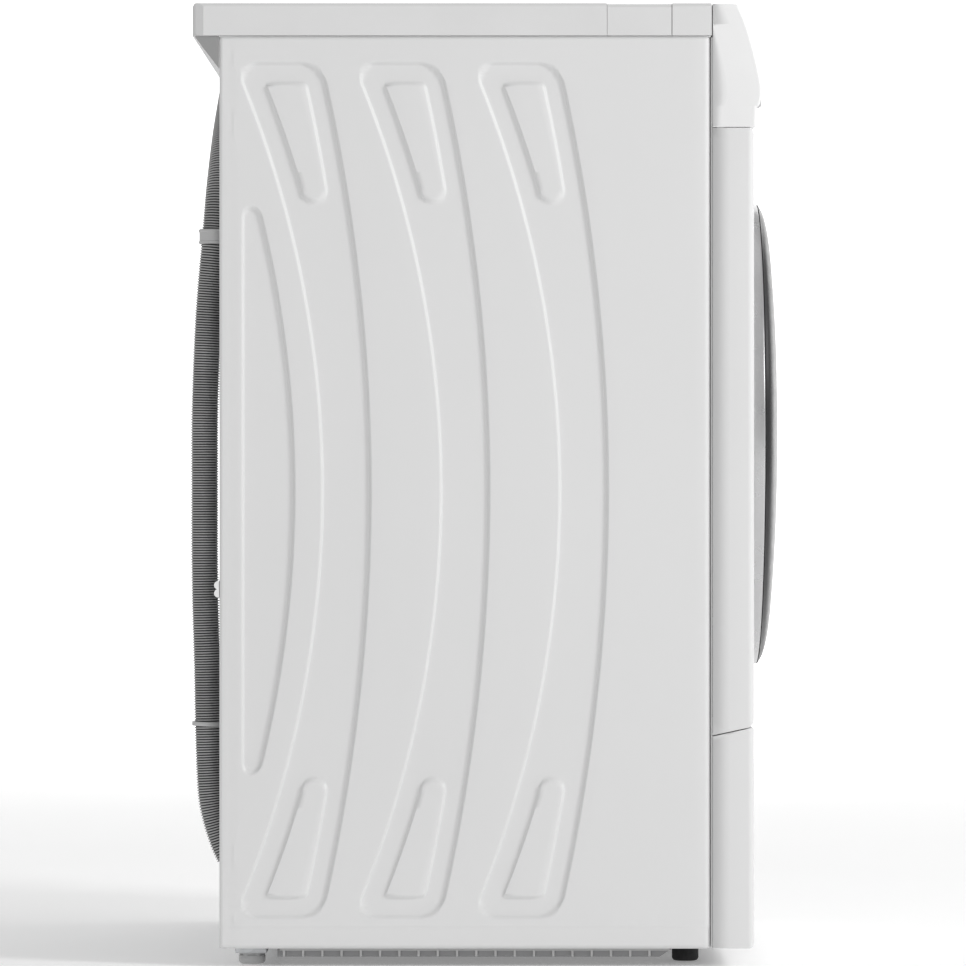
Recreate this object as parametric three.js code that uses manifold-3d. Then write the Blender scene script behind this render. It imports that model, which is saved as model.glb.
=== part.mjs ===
// A front-loading clothes dryer with a heat pump, standing on four feet.
// Millimetres. X runs to the right, -Y is the front, +Z is up, and the floor is z = 0.
import * as THREE from "three";
import { mergeVertices } from "three/addons/utils/BufferGeometryUtils.js";
import Module from "manifold-3d";

const wasm = await Module();
wasm.setup();

// Cabinet
const HALF_WIDTH = 298;
const SHEET = 1.2;
const SIDE_FRONT = -194.2;
const SIDE_REAR = 239.75;
const SIDE_BOTTOM = 15.4;
const SIDE_TOP = 819.5;
const SIDE_LIP = 18;
const REAR_FACE = 215;
const FRONT_FACE = -232.25;
const FRONT_BACK = -195.4;
const FRONT_TOP = 739.7;
const FRONT_CORNER = 6;
const FRONT_WALL = 1.5;
const SEAM_BACK_Z = 203;
const SEAM_FRONT_Z = 211;
const SEAM_GAP = 0.4;
const GAP = 0.3;
const FAR = 310;

// Back
const BRACKET = { rear: 262, front: 240.2, top: 820.7, bottom: 792, inset: 1, thickness: 2.5 };
const GLAND = { x: 210, z: 120, hole: 14 };
const OUTLET = { z: 76, hole: 9, flange: 16, pipe: 10.5 };
const BEARING_HOLE = 34;

// Worktop
const TOP_HALF_WIDTH = 299;
const TOP_REAR = 263.75;
const TOP_FRONT = -194.7;
const TOP_UNDERSIDE = 821;
const TOP_FACE = 849.7;
const TRIM_WIDTH = 14;
const INSERT_REAR = -102.3;
const INSERT_FRONT = -159.6;
const INSERT_DROP = 0.8;
const TRIM_BEVEL = 3;

// Control panel: front outline as [y, z], from the top rear round to the bottom
const PANEL_OUTLINE = [
  [-195.4, 849.1], [-216.8, 849], [-219.4, 845.5], [-225.4, 831.5], [-230.9, 813.4],
  [-235.3, 795.7], [-238.3, 780.7], [-239, 774], [-236.5, 759.5], [-234.3, 758.8], [-233.9, 740.3],
  [-195.4, 740.3],
];
const PANEL_WALL = 2.5;
const KNOB = { x: 0, z: 797, radius: 27, height: 11.5, shaft: 4 };
const DISPLAY = { x: 118, z: 802, width: 118, height: 30 };
const OPTION_BUTTONS = [{ x: 82, z: 775 }, { x: 154, z: 775 }];
const OPTION_SIZE = { width: 34, height: 7, depth: 9, proud: 1.6 };
const START_BUTTON = { x: 236, z: 797, radius: 13, depth: 9, proud: 2.4 };

// Water container: a drawer in the control panel
const DRAWER = { left: -281, right: -107, bottom: 765.5, top: 836.5, back: -206, clearance: 1.4 };
const GRIP = { left: -239, right: -149, back: -222, rise: 16 };
const TANK = { rear: 140, top: 818, wall: 2.5, inset: 2 };

// Door
const DOOR_Z = 471.6;
const DOOR_RADIUS = 213;
const OPENING_RADIUS = 171;
const DOME_PROFILE = [
  [213, 14.3], [204.6, 18.9], [188.7, 22.7], [161.8, 25.5], [110, 28.9], [0, 31.5],
];
const HINGE = { x: 222, y: -241, barrel: 5, pin: 2, half: 36, middle: 18 };
const LATCH_X = -183;

const DOOR_BACK = -234.2;
const DOME_WALL = 3;
const BOWL_RADIUS = 150;

// Front bulkhead, door seal and lint filter
const BULKHEAD = { half: 292, front: -187.5, rear: -186, bottom: 60, top: 735, mouth: 172, ring: 4 };
const SEAL = { radius: 170.2, front: -230.5, rear: -190 };
const LINT = { half: 90, front: -214, rear: -190, bottom: 212, top: 292 };

// Drum
const DRUM = { radius: 262, wall: 1.6, front: -168, rear: 180, mouth: 184 };
const VENTS = { count: 8, ring: 105, radius: 20 };
const LIFTER_COUNT = 3;
const SHAFT_RADIUS = 12.5;
const ROLLER = { radius: 34, angle: 38, front: -150, rear: -124, axle: 6 };

// Drive
const MOTOR = { x: 170, z: 115, radius: 58, front: 66, rear: 170 };
const PULLEY_RADIUS = 11;
const BELT = { front: 40, rear: 52, thickness: 1.8, clearance: 1.7 };
const IDLER_RADIUS = 16;
const IDLER_BORE = 5;
const IDLER_PIN = 3.6;
const BLADE_COUNT = 9;

// Heat pump
const COMPRESSOR = { x: -190, y: 108 };
const COIL = { left: -284, right: -84, bottom: 26, top: 176 };

// Base
const TRAY = { half: 288, front: -161, rear: 188.8, bottom: 7.5, top: 34, wall: 2.5, slantY: -148.7 };
const REAR_FOOT = { x: 262, y: 212 };
const FRONT_FOOT = { x: 225, y: -173.5 };
const FOOT = { radius: 12, stem: 4, top: 30 };

// Drain hose
const HOSE_RADIUS = 12.5;
const HOSE_SIDES = 8;
const HOSE_STEPS = 56;
const HOSE_X = 250;
const HOSE_ROUTE = [
  [-250, 232, 94], [-250, 238.4, 108.7], [-250, 247, 139], [-250, 250.2, 176], [-250, 251.5, 214],
  [-250, 252.4, 262], [-250, 253.8, 310], [-250, 254.6, 354], [-250, 254.7, 400], [-250, 254.7, 444],
  [-250, 254.5, 488], [-250, 252.2, 555], [-250, 249.3, 600], [-250, 245.3, 643], [-242.3, 241, 691.5],
  [-220, 236.8, 735.3], [-185.3, 233, 770], [-141.5, 230.8, 792.3], [-93, 230.2, 800], [-46.5, 230.2, 800],
  [0, 230.2, 800], [46.5, 230.2, 800], [93, 230.2, 800], [141.5, 230.6, 792.3], [185.3, 231.6, 770],
  [220, 233, 735.3], [242.3, 235, 691.5], [250, 237, 643], [250, 237.6, 590], [250, 237.2, 530],
  [250, 236.2, 470], [250, 235, 416], [250, 234.5, 380], [250, 234.5, 362],
];
const OUTLET_LEAN = [0, 0.4, 0.9165];
const CLIP = { inner: 13.6, outer: 15.2, half: 6.7, stem: 5 };
const CUFF = { radius: 13.6, length: 44 };
const LOBE = { radius: 3.7, low: 328.8, high: 336, y: 240.8, left: -296.5, right: -284 };

// Looks
const look = (color, roughness, metalness = 0) => ({ color, roughness, metalness });
const LOOKS = {
  enamel: look(0xdedede, 0.35, 0.1),
  whitePlastic: look(0xeeeeee, 0.45),
  silver: look(0xc8c8c8, 0.3, 0.6),
  smokedGlass: look(0x303030, 0.08),
  clearGlass: look(0xbfc8cc, 0.05),
  galvanised: look(0xa8acae, 0.45, 0.8),
  stainless: look(0xb8b8b8, 0.3, 0.9),
  darkPlastic: look(0x3a3a3a, 0.55),
  greyPlastic: look(0x9a9a9a, 0.5),
  rubber: look(0x2b2b2b, 0.8),
  copper: look(0xb0724a, 0.4, 0.9),
};

// Geometry helpers

// Merge shared corners, drop the triangles that collapse, and turn the faces outwards.
function closed(geometry) {
  const bare = geometry.clone();
  bare.deleteAttribute("normal");
  bare.deleteAttribute("uv");
  const merged = mergeVertices(bare, 1e-4);
  const corners = merged.index.array;
  const place = merged.attributes.position.array;
  const kept = [];
  let volume = 0;
  for (let i = 0; i < corners.length; i += 3) {
    const [a, b, c] = [corners[i], corners[i + 1], corners[i + 2]];
    if (a === b || b === c || c === a) continue;
    kept.push([a, b, c]);
    const [p, q, r] = [a, b, c].map((k) => new THREE.Vector3().fromArray(place, k * 3));
    volume += p.dot(q.cross(r));
  }
  const index = kept.flatMap(([a, b, c]) => (volume < 0 ? [a, c, b] : [a, b, c]));
  merged.setIndex(index);
  return merged;
}

function toSolid(geometry) {
  const mesh = closed(geometry);
  return new wasm.Manifold(new wasm.Mesh({
    numProp: 3,
    vertProperties: new Float32Array(mesh.attributes.position.array),
    triVerts: new Uint32Array(mesh.index.array),
  }));
}

function toGeometry(solid) {
  const mesh = solid.getMesh();
  const geometry = new THREE.BufferGeometry();
  geometry.setAttribute("position", new THREE.BufferAttribute(mesh.vertProperties, 3));
  geometry.setIndex(new THREE.BufferAttribute(mesh.triVerts, 1));
  return geometry;
}

const join = (...parts) => toGeometry(parts.map(toSolid).reduce((a, b) => a.add(b)));
const cut = (body, ...tools) => toGeometry(tools.map(toSolid).reduce((a, b) => a.subtract(b), toSolid(body)));
const common = (a, b) => toGeometry(toSolid(a).intersect(toSolid(b)));

// A box from its lowest and highest corner in each direction.
function box(x0, x1, y0, y1, z0, z1) {
  return new THREE.BoxGeometry(x1 - x0, y1 - y0, z1 - z0)
    .translate((x0 + x1) / 2, (y0 + y1) / 2, (z0 + z1) / 2);
}

// An outline carried along an axis. Along x it is [y, z], along y it is [x, z], along z it is [x, y].
const ALONG = {
  x: new THREE.Matrix4().set(0, 0, 1, 0, 1, 0, 0, 0, 0, 1, 0, 0, 0, 0, 0, 1),
  y: new THREE.Matrix4().set(0, 1, 0, 0, 0, 0, 1, 0, 1, 0, 0, 0, 0, 0, 0, 1),
  z: new THREE.Matrix4(),
};
function prism(axis, outline, from, to) {
  const flip = axis === "y";
  const shape = new THREE.Shape(outline.map(([u, v]) => new THREE.Vector2(flip ? v : u, flip ? u : v)));
  const solid = new THREE.ExtrudeGeometry(shape, { depth: to - from, bevelEnabled: false });
  return solid.translate(0, 0, from).applyMatrix4(ALONG[axis]);
}

// Points of a circle about [cu, cv], as an outline for prism.
function circle(cu, cv, radius, sides) {
  return Array.from({ length: sides }, (_, i) => {
    const turn = (i / sides) * 2 * Math.PI;
    return [cu + radius * Math.cos(turn), cv + radius * Math.sin(turn)];
  });
}

// A round bar along an axis, centred on [cu, cv] in that axis's outline plane.
const bar = (axis, cu, cv, radius, from, to, sides = 24) =>
  prism(axis, circle(cu, cv, radius, sides), from, to);

// A profile of [radius, height] turned about an axis through [cu, cv].
function turned(axis, profile, cu = 0, cv = 0, sides = 40, closedProfile = true) {
  const points = profile.map(([r, h]) => new THREE.Vector2(r, h));
  if (closedProfile) points.push(points[0].clone());
  const solid = new THREE.LatheGeometry(points, sides);
  if (axis === "z") return solid.rotateX(Math.PI / 2).translate(cu, cv, 0);
  return solid.translate(cu, 0, cv);
}

const model = new THREE.Group();
function piece(name, finish, geometry) {
  const solid = closed(geometry);
  solid.computeVertexNormals();
  const mesh = new THREE.Mesh(solid, new THREE.MeshStandardMaterial(LOOKS[finish]));
  mesh.name = name;
  model.add(mesh);
}
const SIDES = [["left", -1], ["right", 1]];

// Cabinet shell

// Side panel: a sheet with its front and rear edges folded inwards.
function sidePanel(side) {
  const outer = side * HALF_WIDTH;
  const inner = side * (HALF_WIDTH - SHEET);
  const lip = side * (HALF_WIDTH - SIDE_LIP);
  return prism("z", [
    [outer, SIDE_FRONT], [outer, SIDE_REAR], [lip, SIDE_REAR], [lip, SIDE_REAR - SHEET],
    [inner, SIDE_REAR - SHEET], [inner, SIDE_FRONT + SHEET], [lip, SIDE_FRONT + SHEET], [lip, SIDE_FRONT],
  ], SIDE_BOTTOM, SIDE_TOP);
}
for (const [name, side] of SIDES) piece(`${name}_side_panel`, "enamel", sidePanel(side));

// Front shells: a pan open at the back, with rounded front corners.
function frontPan(bottom, top) {
  const outline = (inset) => {
    const half = HALF_WIDTH - inset;
    const radius = FRONT_CORNER - inset;
    const face = FRONT_FACE + inset;
    const arc = (side) => Array.from({ length: 5 }, (_, i) => {
      const turn = (i / 4) * Math.PI / 2;
      return [side * (half - radius + radius * Math.cos(turn)), face + radius - radius * Math.sin(turn)];
    });
    return [...arc(-1), ...arc(1).reverse()];
  };
  const shell = [[-HALF_WIDTH, FRONT_BACK], ...outline(0), [HALF_WIDTH, FRONT_BACK]];
  const hollow = [[HALF_WIDTH - FRONT_WALL, FRONT_BACK], ...outline(FRONT_WALL).reverse(),
    [-HALF_WIDTH + FRONT_WALL, FRONT_BACK]];
  return prism("z", [...shell, ...hollow], bottom, top);
}

// The slanted seam between front panel and kick plate, as a wedge above or below it.
function seamWedge(offset, farZ) {
  const slope = (SEAM_FRONT_Z - SEAM_BACK_Z) / (FRONT_FACE - FRONT_BACK);
  const seamAt = (y) => SEAM_BACK_Z + (y - FRONT_BACK) * slope + offset;
  const [back, front] = [FRONT_BACK + 20, FRONT_FACE - 20];
  return prism("x", [[back, seamAt(back)], [front, seamAt(front)], [front, farZ], [back, farZ]], -310, 310);
}

function frontPanel() {
  const latchSlot = box(LATCH_X - 8, LATCH_X + 8, FRONT_FACE - 5, FRONT_FACE + 5, DOOR_Z - 12, DOOR_Z + 12);
  return cut(
    frontPan(SEAM_BACK_Z - 15, FRONT_TOP),
    seamWedge(SEAM_GAP, 100),
    bar("y", 0, DOOR_Z, OPENING_RADIUS, FRONT_FACE - 5, FRONT_FACE + 5, 48),
    latchSlot,
  );
}
piece("front_panel", "enamel", frontPanel());

function kickPlate() {
  return cut(frontPan(SIDE_BOTTOM + 0.1, SEAM_FRONT_Z + 15), seamWedge(-SEAM_GAP, 300));
}
piece("kick_plate", "enamel", kickPlate());

// Rear panel: a plain sheet with a foot rail folded out at the bottom and holes for what passes through.
function rearPanel() {
  const half = HALF_WIDTH - SHEET - 1;
  const sheet = box(-half, half, REAR_FACE - SHEET, REAR_FACE, SIDE_BOTTOM, SIDE_TOP);
  const rail = box(-half, half, REAR_FOOT.y - 14, REAR_FOOT.y + 14, SIDE_BOTTOM - 4.4, SIDE_BOTTOM + 3);
  const footHoles = SIDES.map(([, side]) =>
    bar("z", side * REAR_FOOT.x, REAR_FOOT.y, FOOT.stem + 0.6, 0, FOOT.top + 1, 12));
  return cut(
    join(sheet, rail),
    bar("y", 0, DOOR_Z, BEARING_HOLE, REAR_FACE - 5, REAR_FACE + 5, 24),
    bar("y", -HOSE_X, OUTLET.z, OUTLET.hole, REAR_FACE - 5, REAR_FACE + 5, 16),
    bar("y", GLAND.x, GLAND.z, GLAND.hole, REAR_FACE - 5, REAR_FACE + 5, 16),
    ...footHoles,
  );
}
piece("rear_panel", "galvanised", rearPanel());

// Bearing cover: a pressed cup over the end of the drum shaft.
piece("rear_cover", "galvanised", turned("y", [
  [78, 215.4], [78, 216.8], [50, 221], [43, 233], [0, 233], [0, 231.4], [41.6, 231.4], [48.8, 219.6],
  [76, 215.4],
], 0, DOOR_Z, 24));
piece("rear_bearing", "stainless", turned("y", [
  [13, 199], [33.5, 199], [33.5, 215.4], [40.8, 215.4], [40.8, 220], [13, 220],
], 0, DOOR_Z, 20));
piece("mains_gland", "darkPlastic", turned("y", [
  [5, 205], [13.5, 205], [13.5, 215.3], [19, 215.3], [19, 221], [9, 236], [5, 236],
], GLAND.x, GLAND.z, 14));

// Brackets that carry the worktop's overhang.
function rearBracket(side) {
  const { rear, front, top, bottom, inset, thickness } = BRACKET;
  const from = side < 0 ? -HALF_WIDTH + inset : HALF_WIDTH - inset - thickness;
  return prism("x", [[rear, top], [front, top], [front, bottom]], from, from + thickness);
}
for (const [name, side] of SIDES) piece(`${name}_rear_bracket`, "greyPlastic", rearBracket(side));

// Worktop: a board in a frame, with a trim insert and a front corner on each side.
function worktopFrame() {
  const side = (sign) => [
    [sign * TOP_HALF_WIDTH, INSERT_REAR], [sign * TOP_HALF_WIDTH, TOP_REAR - 10],
    [sign * (TOP_HALF_WIDTH - 3), TOP_REAR - 3], [sign * (TOP_HALF_WIDTH - 10), TOP_REAR],
  ];
  const outer = [...side(-1), ...side(1).reverse()];
  const half = TOP_HALF_WIDTH - TRIM_WIDTH;
  const inner = [[half, INSERT_REAR], [half, TOP_REAR - TRIM_WIDTH], [-half, TOP_REAR - TRIM_WIDTH],
    [-half, INSERT_REAR]];
  const ring = prism("z", [...outer, ...inner], TOP_UNDERSIDE, TOP_FACE);
  const bevel = (u, v) => [[u, TOP_FACE + 1], [u, TOP_FACE - TRIM_BEVEL], [v, TOP_FACE + 1]];
  const rearBevel = prism("x", bevel(TOP_REAR + 0.2, TOP_REAR - TRIM_BEVEL), -FAR, FAR);
  const sideBevels = SIDES.map(([, side]) => prism(
    "y", bevel(side * (TOP_HALF_WIDTH + 0.2), side * (TOP_HALF_WIDTH - TRIM_BEVEL)), -FAR, FAR));
  return cut(ring, rearBevel, ...sideBevels);
}
piece("worktop_frame", "whitePlastic", worktopFrame());

function trimBlock(side, front, rear, drop) {
  const outer = side * TOP_HALF_WIDTH;
  const top = TOP_FACE - drop;
  return prism("y", [
    [side * (TOP_HALF_WIDTH - TRIM_WIDTH), TOP_UNDERSIDE], [outer, TOP_UNDERSIDE], [outer, top - TRIM_BEVEL],
    [outer - side * TRIM_BEVEL, top], [side * (TOP_HALF_WIDTH - TRIM_WIDTH), top],
  ], front, rear);
}
for (const [name, side] of SIDES) {
  piece(`${name}_trim_insert`, "whitePlastic",
    trimBlock(side, INSERT_FRONT + GAP, INSERT_REAR - GAP, INSERT_DROP));
  piece(`${name}_front_corner`, "whitePlastic", trimBlock(side, TOP_FRONT, INSERT_FRONT - GAP, 0));
}
const boardHalf = TOP_HALF_WIDTH - TRIM_WIDTH - GAP;
piece("worktop_board", "enamel",
  box(-boardHalf, boardHalf, TOP_FRONT, TOP_REAR - TRIM_WIDTH - GAP, TOP_UNDERSIDE, TOP_FACE));

// Control panel

// Front face of the control panel: its y at a height, and how far it leans back there.
function panelFace(z) {
  const rows = PANEL_OUTLINE.filter(([, rowZ]) => rowZ <= 845.5 && rowZ >= 774);
  const above = rows.findLast(([, rowZ]) => rowZ >= z);
  const below = rows.find(([, rowZ]) => rowZ <= z);
  const slope = above === below ? 0 : (above[0] - below[0]) / (above[1] - below[1]);
  return { y: below[0] + (z - below[1]) * slope, lean: Math.atan(slope) };
}

// Put a shape that stands up local +Z onto the panel's face, with local +Y up the face.
function onPanel(geometry, x, z) {
  const { y, lean } = panelFace(z);
  return geometry.clone().rotateX(Math.PI / 2 - lean).translate(x, y, z);
}

const panelBlock = (x, z, width, height, back, proud) =>
  onPanel(new THREE.BoxGeometry(width, height, back + proud).translate(0, 0, (proud - back) / 2), x, z);
const panelRound = (x, z, radius, back, proud) =>
  onPanel(turned("z", [[0, -back], [radius, -back], [radius, proud], [0, proud]], 0, 0, 24), x, z);

// The panel's outline moved in by the wall, left open at the back.
function panelHollow() {
  return [[-180, 846.3], [-214.8, 846.3], [-217.2, 843.6], [-223, 830.5], [-228.4, 812.8], [-232.8, 795.1],
    [-235.7, 780.2], [-236.3, 774], [-234, 762], [-231.6, 760], [-231.3, 743], [-180, 743]];
}
function drawerSection(grow) {
  return box(DRAWER.left - grow, DRAWER.right + grow, -FAR, DRAWER.back,
    DRAWER.bottom - grow, DRAWER.top + grow);
}
function controlPanel() {
  const shell = cut(
    prism("x", PANEL_OUTLINE, -HALF_WIDTH, HALF_WIDTH),
    prism("x", panelHollow(), -HALF_WIDTH + PANEL_WALL, HALF_WIDTH - PANEL_WALL),
  );
  const buttonHoles = OPTION_BUTTONS.map(({ x, z }) =>
    panelBlock(x, z, OPTION_SIZE.width + 1.2, OPTION_SIZE.height + 1.2, 12, 5));
  return cut(
    shell,
    drawerSection(DRAWER.clearance),
    panelRound(KNOB.x, KNOB.z, KNOB.shaft + 0.6, 10, 5),
    panelBlock(DISPLAY.x, DISPLAY.z, DISPLAY.width + 1, DISPLAY.height + 1, 10, 5),
    panelRound(START_BUTTON.x, START_BUTTON.z, START_BUTTON.radius + 0.6, 12, 5),
    ...buttonHoles,
  );
}
piece("control_panel", "whitePlastic", controlPanel());

piece("program_knob", "silver", onPanel(turned("z", [
  [0, -20], [KNOB.shaft, -20], [KNOB.shaft, 0.8], [KNOB.radius, 0.8], [KNOB.radius - 1, KNOB.height - 3],
  [KNOB.radius - 4, KNOB.height], [0, KNOB.height],
], 0, 0, 28), KNOB.x, KNOB.z));
piece("display_lens", "smokedGlass",
  panelBlock(DISPLAY.x, DISPLAY.z, DISPLAY.width, DISPLAY.height, 3, -0.2));
OPTION_BUTTONS.forEach(({ x, z }, i) => piece(`option_button_${i + 1}`, "silver",
  panelBlock(x, z, OPTION_SIZE.width, OPTION_SIZE.height, OPTION_SIZE.depth, OPTION_SIZE.proud)));
piece("start_button", "silver", panelRound(
  START_BUTTON.x, START_BUTTON.z, START_BUTTON.radius, START_BUTTON.depth, START_BUTTON.proud));

// Water container: an open tank behind a front that follows the control panel's face.
function waterContainer() {
  const face = prism("x", PANEL_OUTLINE, DRAWER.left, DRAWER.right);
  const front = common(face, drawerSection(0));
  const grip = box(GRIP.left, GRIP.right, -FAR, GRIP.back, DRAWER.bottom - 5, DRAWER.bottom + GRIP.rise);
  const [left, right] = [DRAWER.left + TANK.inset, DRAWER.right - TANK.inset];
  const tank = box(left, right, DRAWER.back - 1, TANK.rear, DRAWER.bottom, TANK.top);
  const inside = box(left + TANK.wall, right - TANK.wall, DRAWER.back + TANK.wall, TANK.rear - TANK.wall,
    DRAWER.bottom + TANK.wall, TANK.top + 5);
  return cut(join(front, tank), grip, inside);
}
piece("water_container", "whitePlastic", waterContainer());

// Front bulkhead: a sheet with the drum's mouth ring and the two roller axles pressed into it.
const rollerPlace = (side) => {
  const reach = DRUM.radius + ROLLER.radius + 0.6;
  const angle = ROLLER.angle * Math.PI / 180;
  return [side * reach * Math.sin(angle), DOOR_Z - reach * Math.cos(angle)];
};
function frontBulkhead() {
  const { half, front, rear, bottom, top, mouth, ring } = BULKHEAD;
  const sheet = cut(
    box(-half, half, front, rear, bottom, top),
    bar("y", 0, DOOR_Z, mouth, front - 5, rear + 5, 36),
  );
  const lip = turned("y", [
    [mouth, front], [mouth + ring, front], [mouth + ring, -160], [mouth, -160],
  ], 0, DOOR_Z, 36);
  const axles = SIDES.map(([, side]) =>
    bar("y", ...rollerPlace(side), ROLLER.axle, front + 0.5, ROLLER.rear + 4, 12));
  return join(sheet, lip, ...axles);
}
piece("front_bulkhead", "galvanised", frontBulkhead());
piece("door_seal", "rubber", turned("y", [
  [SEAL.radius, SEAL.front], [SEAL.radius, SEAL.rear], [165, SEAL.rear], [163, -196], [165, -226],
], 0, DOOR_Z, 36));
piece("lint_filter", "darkPlastic", 
  box(-LINT.half, LINT.half, LINT.front, LINT.rear, LINT.bottom, LINT.top));

// Door: a silver rim, a smoked dome, a white inner frame that carries hinge arm and latch, and a glass bowl.
function doorRim() {
  const rim = turned("y", [
    [DOOR_RADIUS, DOOR_BACK], [DOOR_RADIUS, -246.2], [208.5, -246.2], [208.5, -237], [192, -237],
    [192, DOOR_BACK],
  ], 0, DOOR_Z, 44);
  const notch = box(185, 220, -FAR, DOOR_BACK + 4, DOOR_Z - HINGE.middle - 1, DOOR_Z + HINGE.middle + 1);
  return cut(rim, notch);
}
piece("door_rim", "silver", doorRim());

const domeOuter = DOME_PROFILE.map(([r, proud]) => [r, FRONT_FACE - proud]);
const domeInner = DOME_PROFILE.slice(1).filter((_, i) => i !== 2)
  .map(([r, proud]) => [Math.max(r - DOME_WALL, 0), FRONT_FACE - proud + DOME_WALL]);
piece("door_dome", "smokedGlass",
  turned("y", [...domeOuter, ...domeInner.reverse(), [207, FRONT_FACE - 14.3]], 0, DOOR_Z, 44));

function doorInnerFrame() {
  const ring = turned("y", [
    [191.4, DOOR_BACK], [191.4, -240], [BOWL_RADIUS + 0.4, -240], [BOWL_RADIUS + 0.4, DOOR_BACK],
  ], 0, DOOR_Z, 44);
  const [low, high] = [DOOR_Z - HINGE.middle + 1, DOOR_Z + HINGE.middle - 1];
  const arm = box(188, HINGE.x, -239.4, -235.6, low, high);
  const knuckle = bar("z", HINGE.x, HINGE.y, HINGE.barrel, low, high, 20);
  const hook = box(LATCH_X - 5, LATCH_X + 5, -236, -218, DOOR_Z - 8, DOOR_Z + 8);
  const catchNotch = box(LATCH_X - 8, LATCH_X - 2, -227, -221, DOOR_Z - 10, DOOR_Z + 10);
  const pinHole = bar("z", HINGE.x, HINGE.y, HINGE.pin + 0.4, DOOR_Z - 60, DOOR_Z + 60, 12);
  return cut(join(ring, arm, knuckle, hook), catchNotch, pinHole);
}
piece("door_inner_frame", "whitePlastic", doorInnerFrame());
piece("door_bowl", "clearGlass", turned("y", [
  [BOWL_RADIUS, -240.2], [147, -228], [140, -195], [122, -176], [85, -165], [0, -161],
  [0, -164.5], [84, -168.5], [119.5, -179], [136.5, -197], [144, -240.2],
], 0, DOOR_Z, 36));

function hingeLeaf() {
  const plate = box(HINGE.x - 2, HINGE.x + 24, HINGE.y + 5.5, FRONT_FACE - GAP,
    DOOR_Z - HINGE.half, DOOR_Z + HINGE.half);
  const ears = [[-HINGE.half, -HINGE.middle], [HINGE.middle, HINGE.half]].flatMap(([from, to]) => [
    bar("z", HINGE.x, HINGE.y, HINGE.barrel, DOOR_Z + from, DOOR_Z + to, 20),
    box(HINGE.x, HINGE.x + HINGE.barrel, HINGE.y, HINGE.y + 6, DOOR_Z + from, DOOR_Z + to),
  ]);
  return cut(join(plate, ...ears),
    bar("z", HINGE.x, HINGE.y, HINGE.pin + GAP, DOOR_Z - 60, DOOR_Z + 60, 12));
}
piece("door_hinge_leaf", "silver", hingeLeaf());
piece("door_hinge_pin", "stainless",
  bar("z", HINGE.x, HINGE.y, HINGE.pin, DOOR_Z - HINGE.half + 1, DOOR_Z + HINGE.half - 1, 12));

// Drum
piece("drum_shell", "stainless", turned("y", [
  [DRUM.mouth, DRUM.front], [DRUM.radius - 8, DRUM.front + 3], [DRUM.radius, DRUM.front + 10],
  [DRUM.radius, DRUM.rear], [DRUM.radius - DRUM.wall, DRUM.rear],
  [DRUM.radius - DRUM.wall, DRUM.front + 10.8], [DRUM.radius - 8.6, DRUM.front + 4.6],
  [DRUM.mouth, DRUM.front + DRUM.wall],
], 0, DOOR_Z, 40));

function drumBack() {
  const back = DRUM.rear + GAP;
  const disc = turned("y", [
    [0, back - 6], [150, back - 6], [190, back], [DRUM.radius, back], [DRUM.radius, back + 2],
    [189.5, back + 2], [149.5, back - 4], [40, back - 4], [34, back + 8], [SHAFT_RADIUS, back + 8],
    [SHAFT_RADIUS, 228], [0, 228],
  ], 0, DOOR_Z, 36);
  const holes = Array.from({ length: VENTS.count }, (_, i) => {
    const turn = (i / VENTS.count) * 2 * Math.PI;
    const [x, z] = [VENTS.ring * Math.cos(turn), DOOR_Z + VENTS.ring * Math.sin(turn)];
    return bar("y", x, z, VENTS.radius, back - 12, back + 5, 10);
  });
  return cut(disc, ...holes);
}
piece("drum_back", "stainless", drumBack());

// Lifter: a long hollow-sided ridge inside the drum.
for (let i = 0; i < LIFTER_COUNT; i += 1) {
  const foot = DRUM.radius - DRUM.wall - 1.2;
  const ridge = [[-30, foot - 3], [0, foot], [30, foot - 3], [13, foot - 40], [6, foot - 50], [-6, foot - 50],
    [-13, foot - 40]];
  const turn = Math.PI / 2 + (i / LIFTER_COUNT) * 2 * Math.PI;
  const placed = ridge.map(([across, out]) => [
    out * Math.cos(turn) - across * Math.sin(turn), DOOR_Z + out * Math.sin(turn) + across * Math.cos(turn),
  ]);
  piece(`drum_lifter_${i + 1}`, "greyPlastic", prism("y", placed, -148, 168));
}
for (const [name, side] of SIDES) {
  const ring = turned("y", [
    [ROLLER.axle + 0.5, ROLLER.front], [ROLLER.radius, ROLLER.front], [ROLLER.radius, ROLLER.rear],
    [ROLLER.axle + 0.5, ROLLER.rear],
  ], ...rollerPlace(side), 20);
  piece(`${name}_drum_roller`, "rubber", ring);
}

// Drive

// Outline of a loop drawn tight around two circles.
function loopAround(a, radiusA, b, radiusB, stepsA, stepsB) {
  const direction = Math.atan2(b[1] - a[1], b[0] - a[0]);
  const spread = Math.acos((radiusA - radiusB) / Math.hypot(b[0] - a[0], b[1] - a[1]));
  const arc = (centre, radius, from, to, steps) => Array.from({ length: steps + 1 }, (_, i) => {
    const turn = from + (to - from) * (i / steps);
    return [centre[0] + radius * Math.cos(turn), centre[1] + radius * Math.sin(turn)];
  });
  return [
    ...arc(a, radiusA, direction + spread, direction + 2 * Math.PI - spread, stepsA),
    ...arc(b, radiusB, direction - spread, direction + spread, stepsB),
  ];
}
const drumCentre = [0, DOOR_Z];
const motorCentre = [MOTOR.x, MOTOR.z];
const loop = (grow) => loopAround(drumCentre, DRUM.radius + grow, motorCentre, PULLEY_RADIUS + grow, 36, 6);
piece("drive_belt", "rubber", cut(
  prism("y", loop(BELT.clearance + BELT.thickness), BELT.front, BELT.rear),
  prism("y", loop(BELT.clearance), BELT.front - 5, BELT.rear + 5),
));

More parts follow.
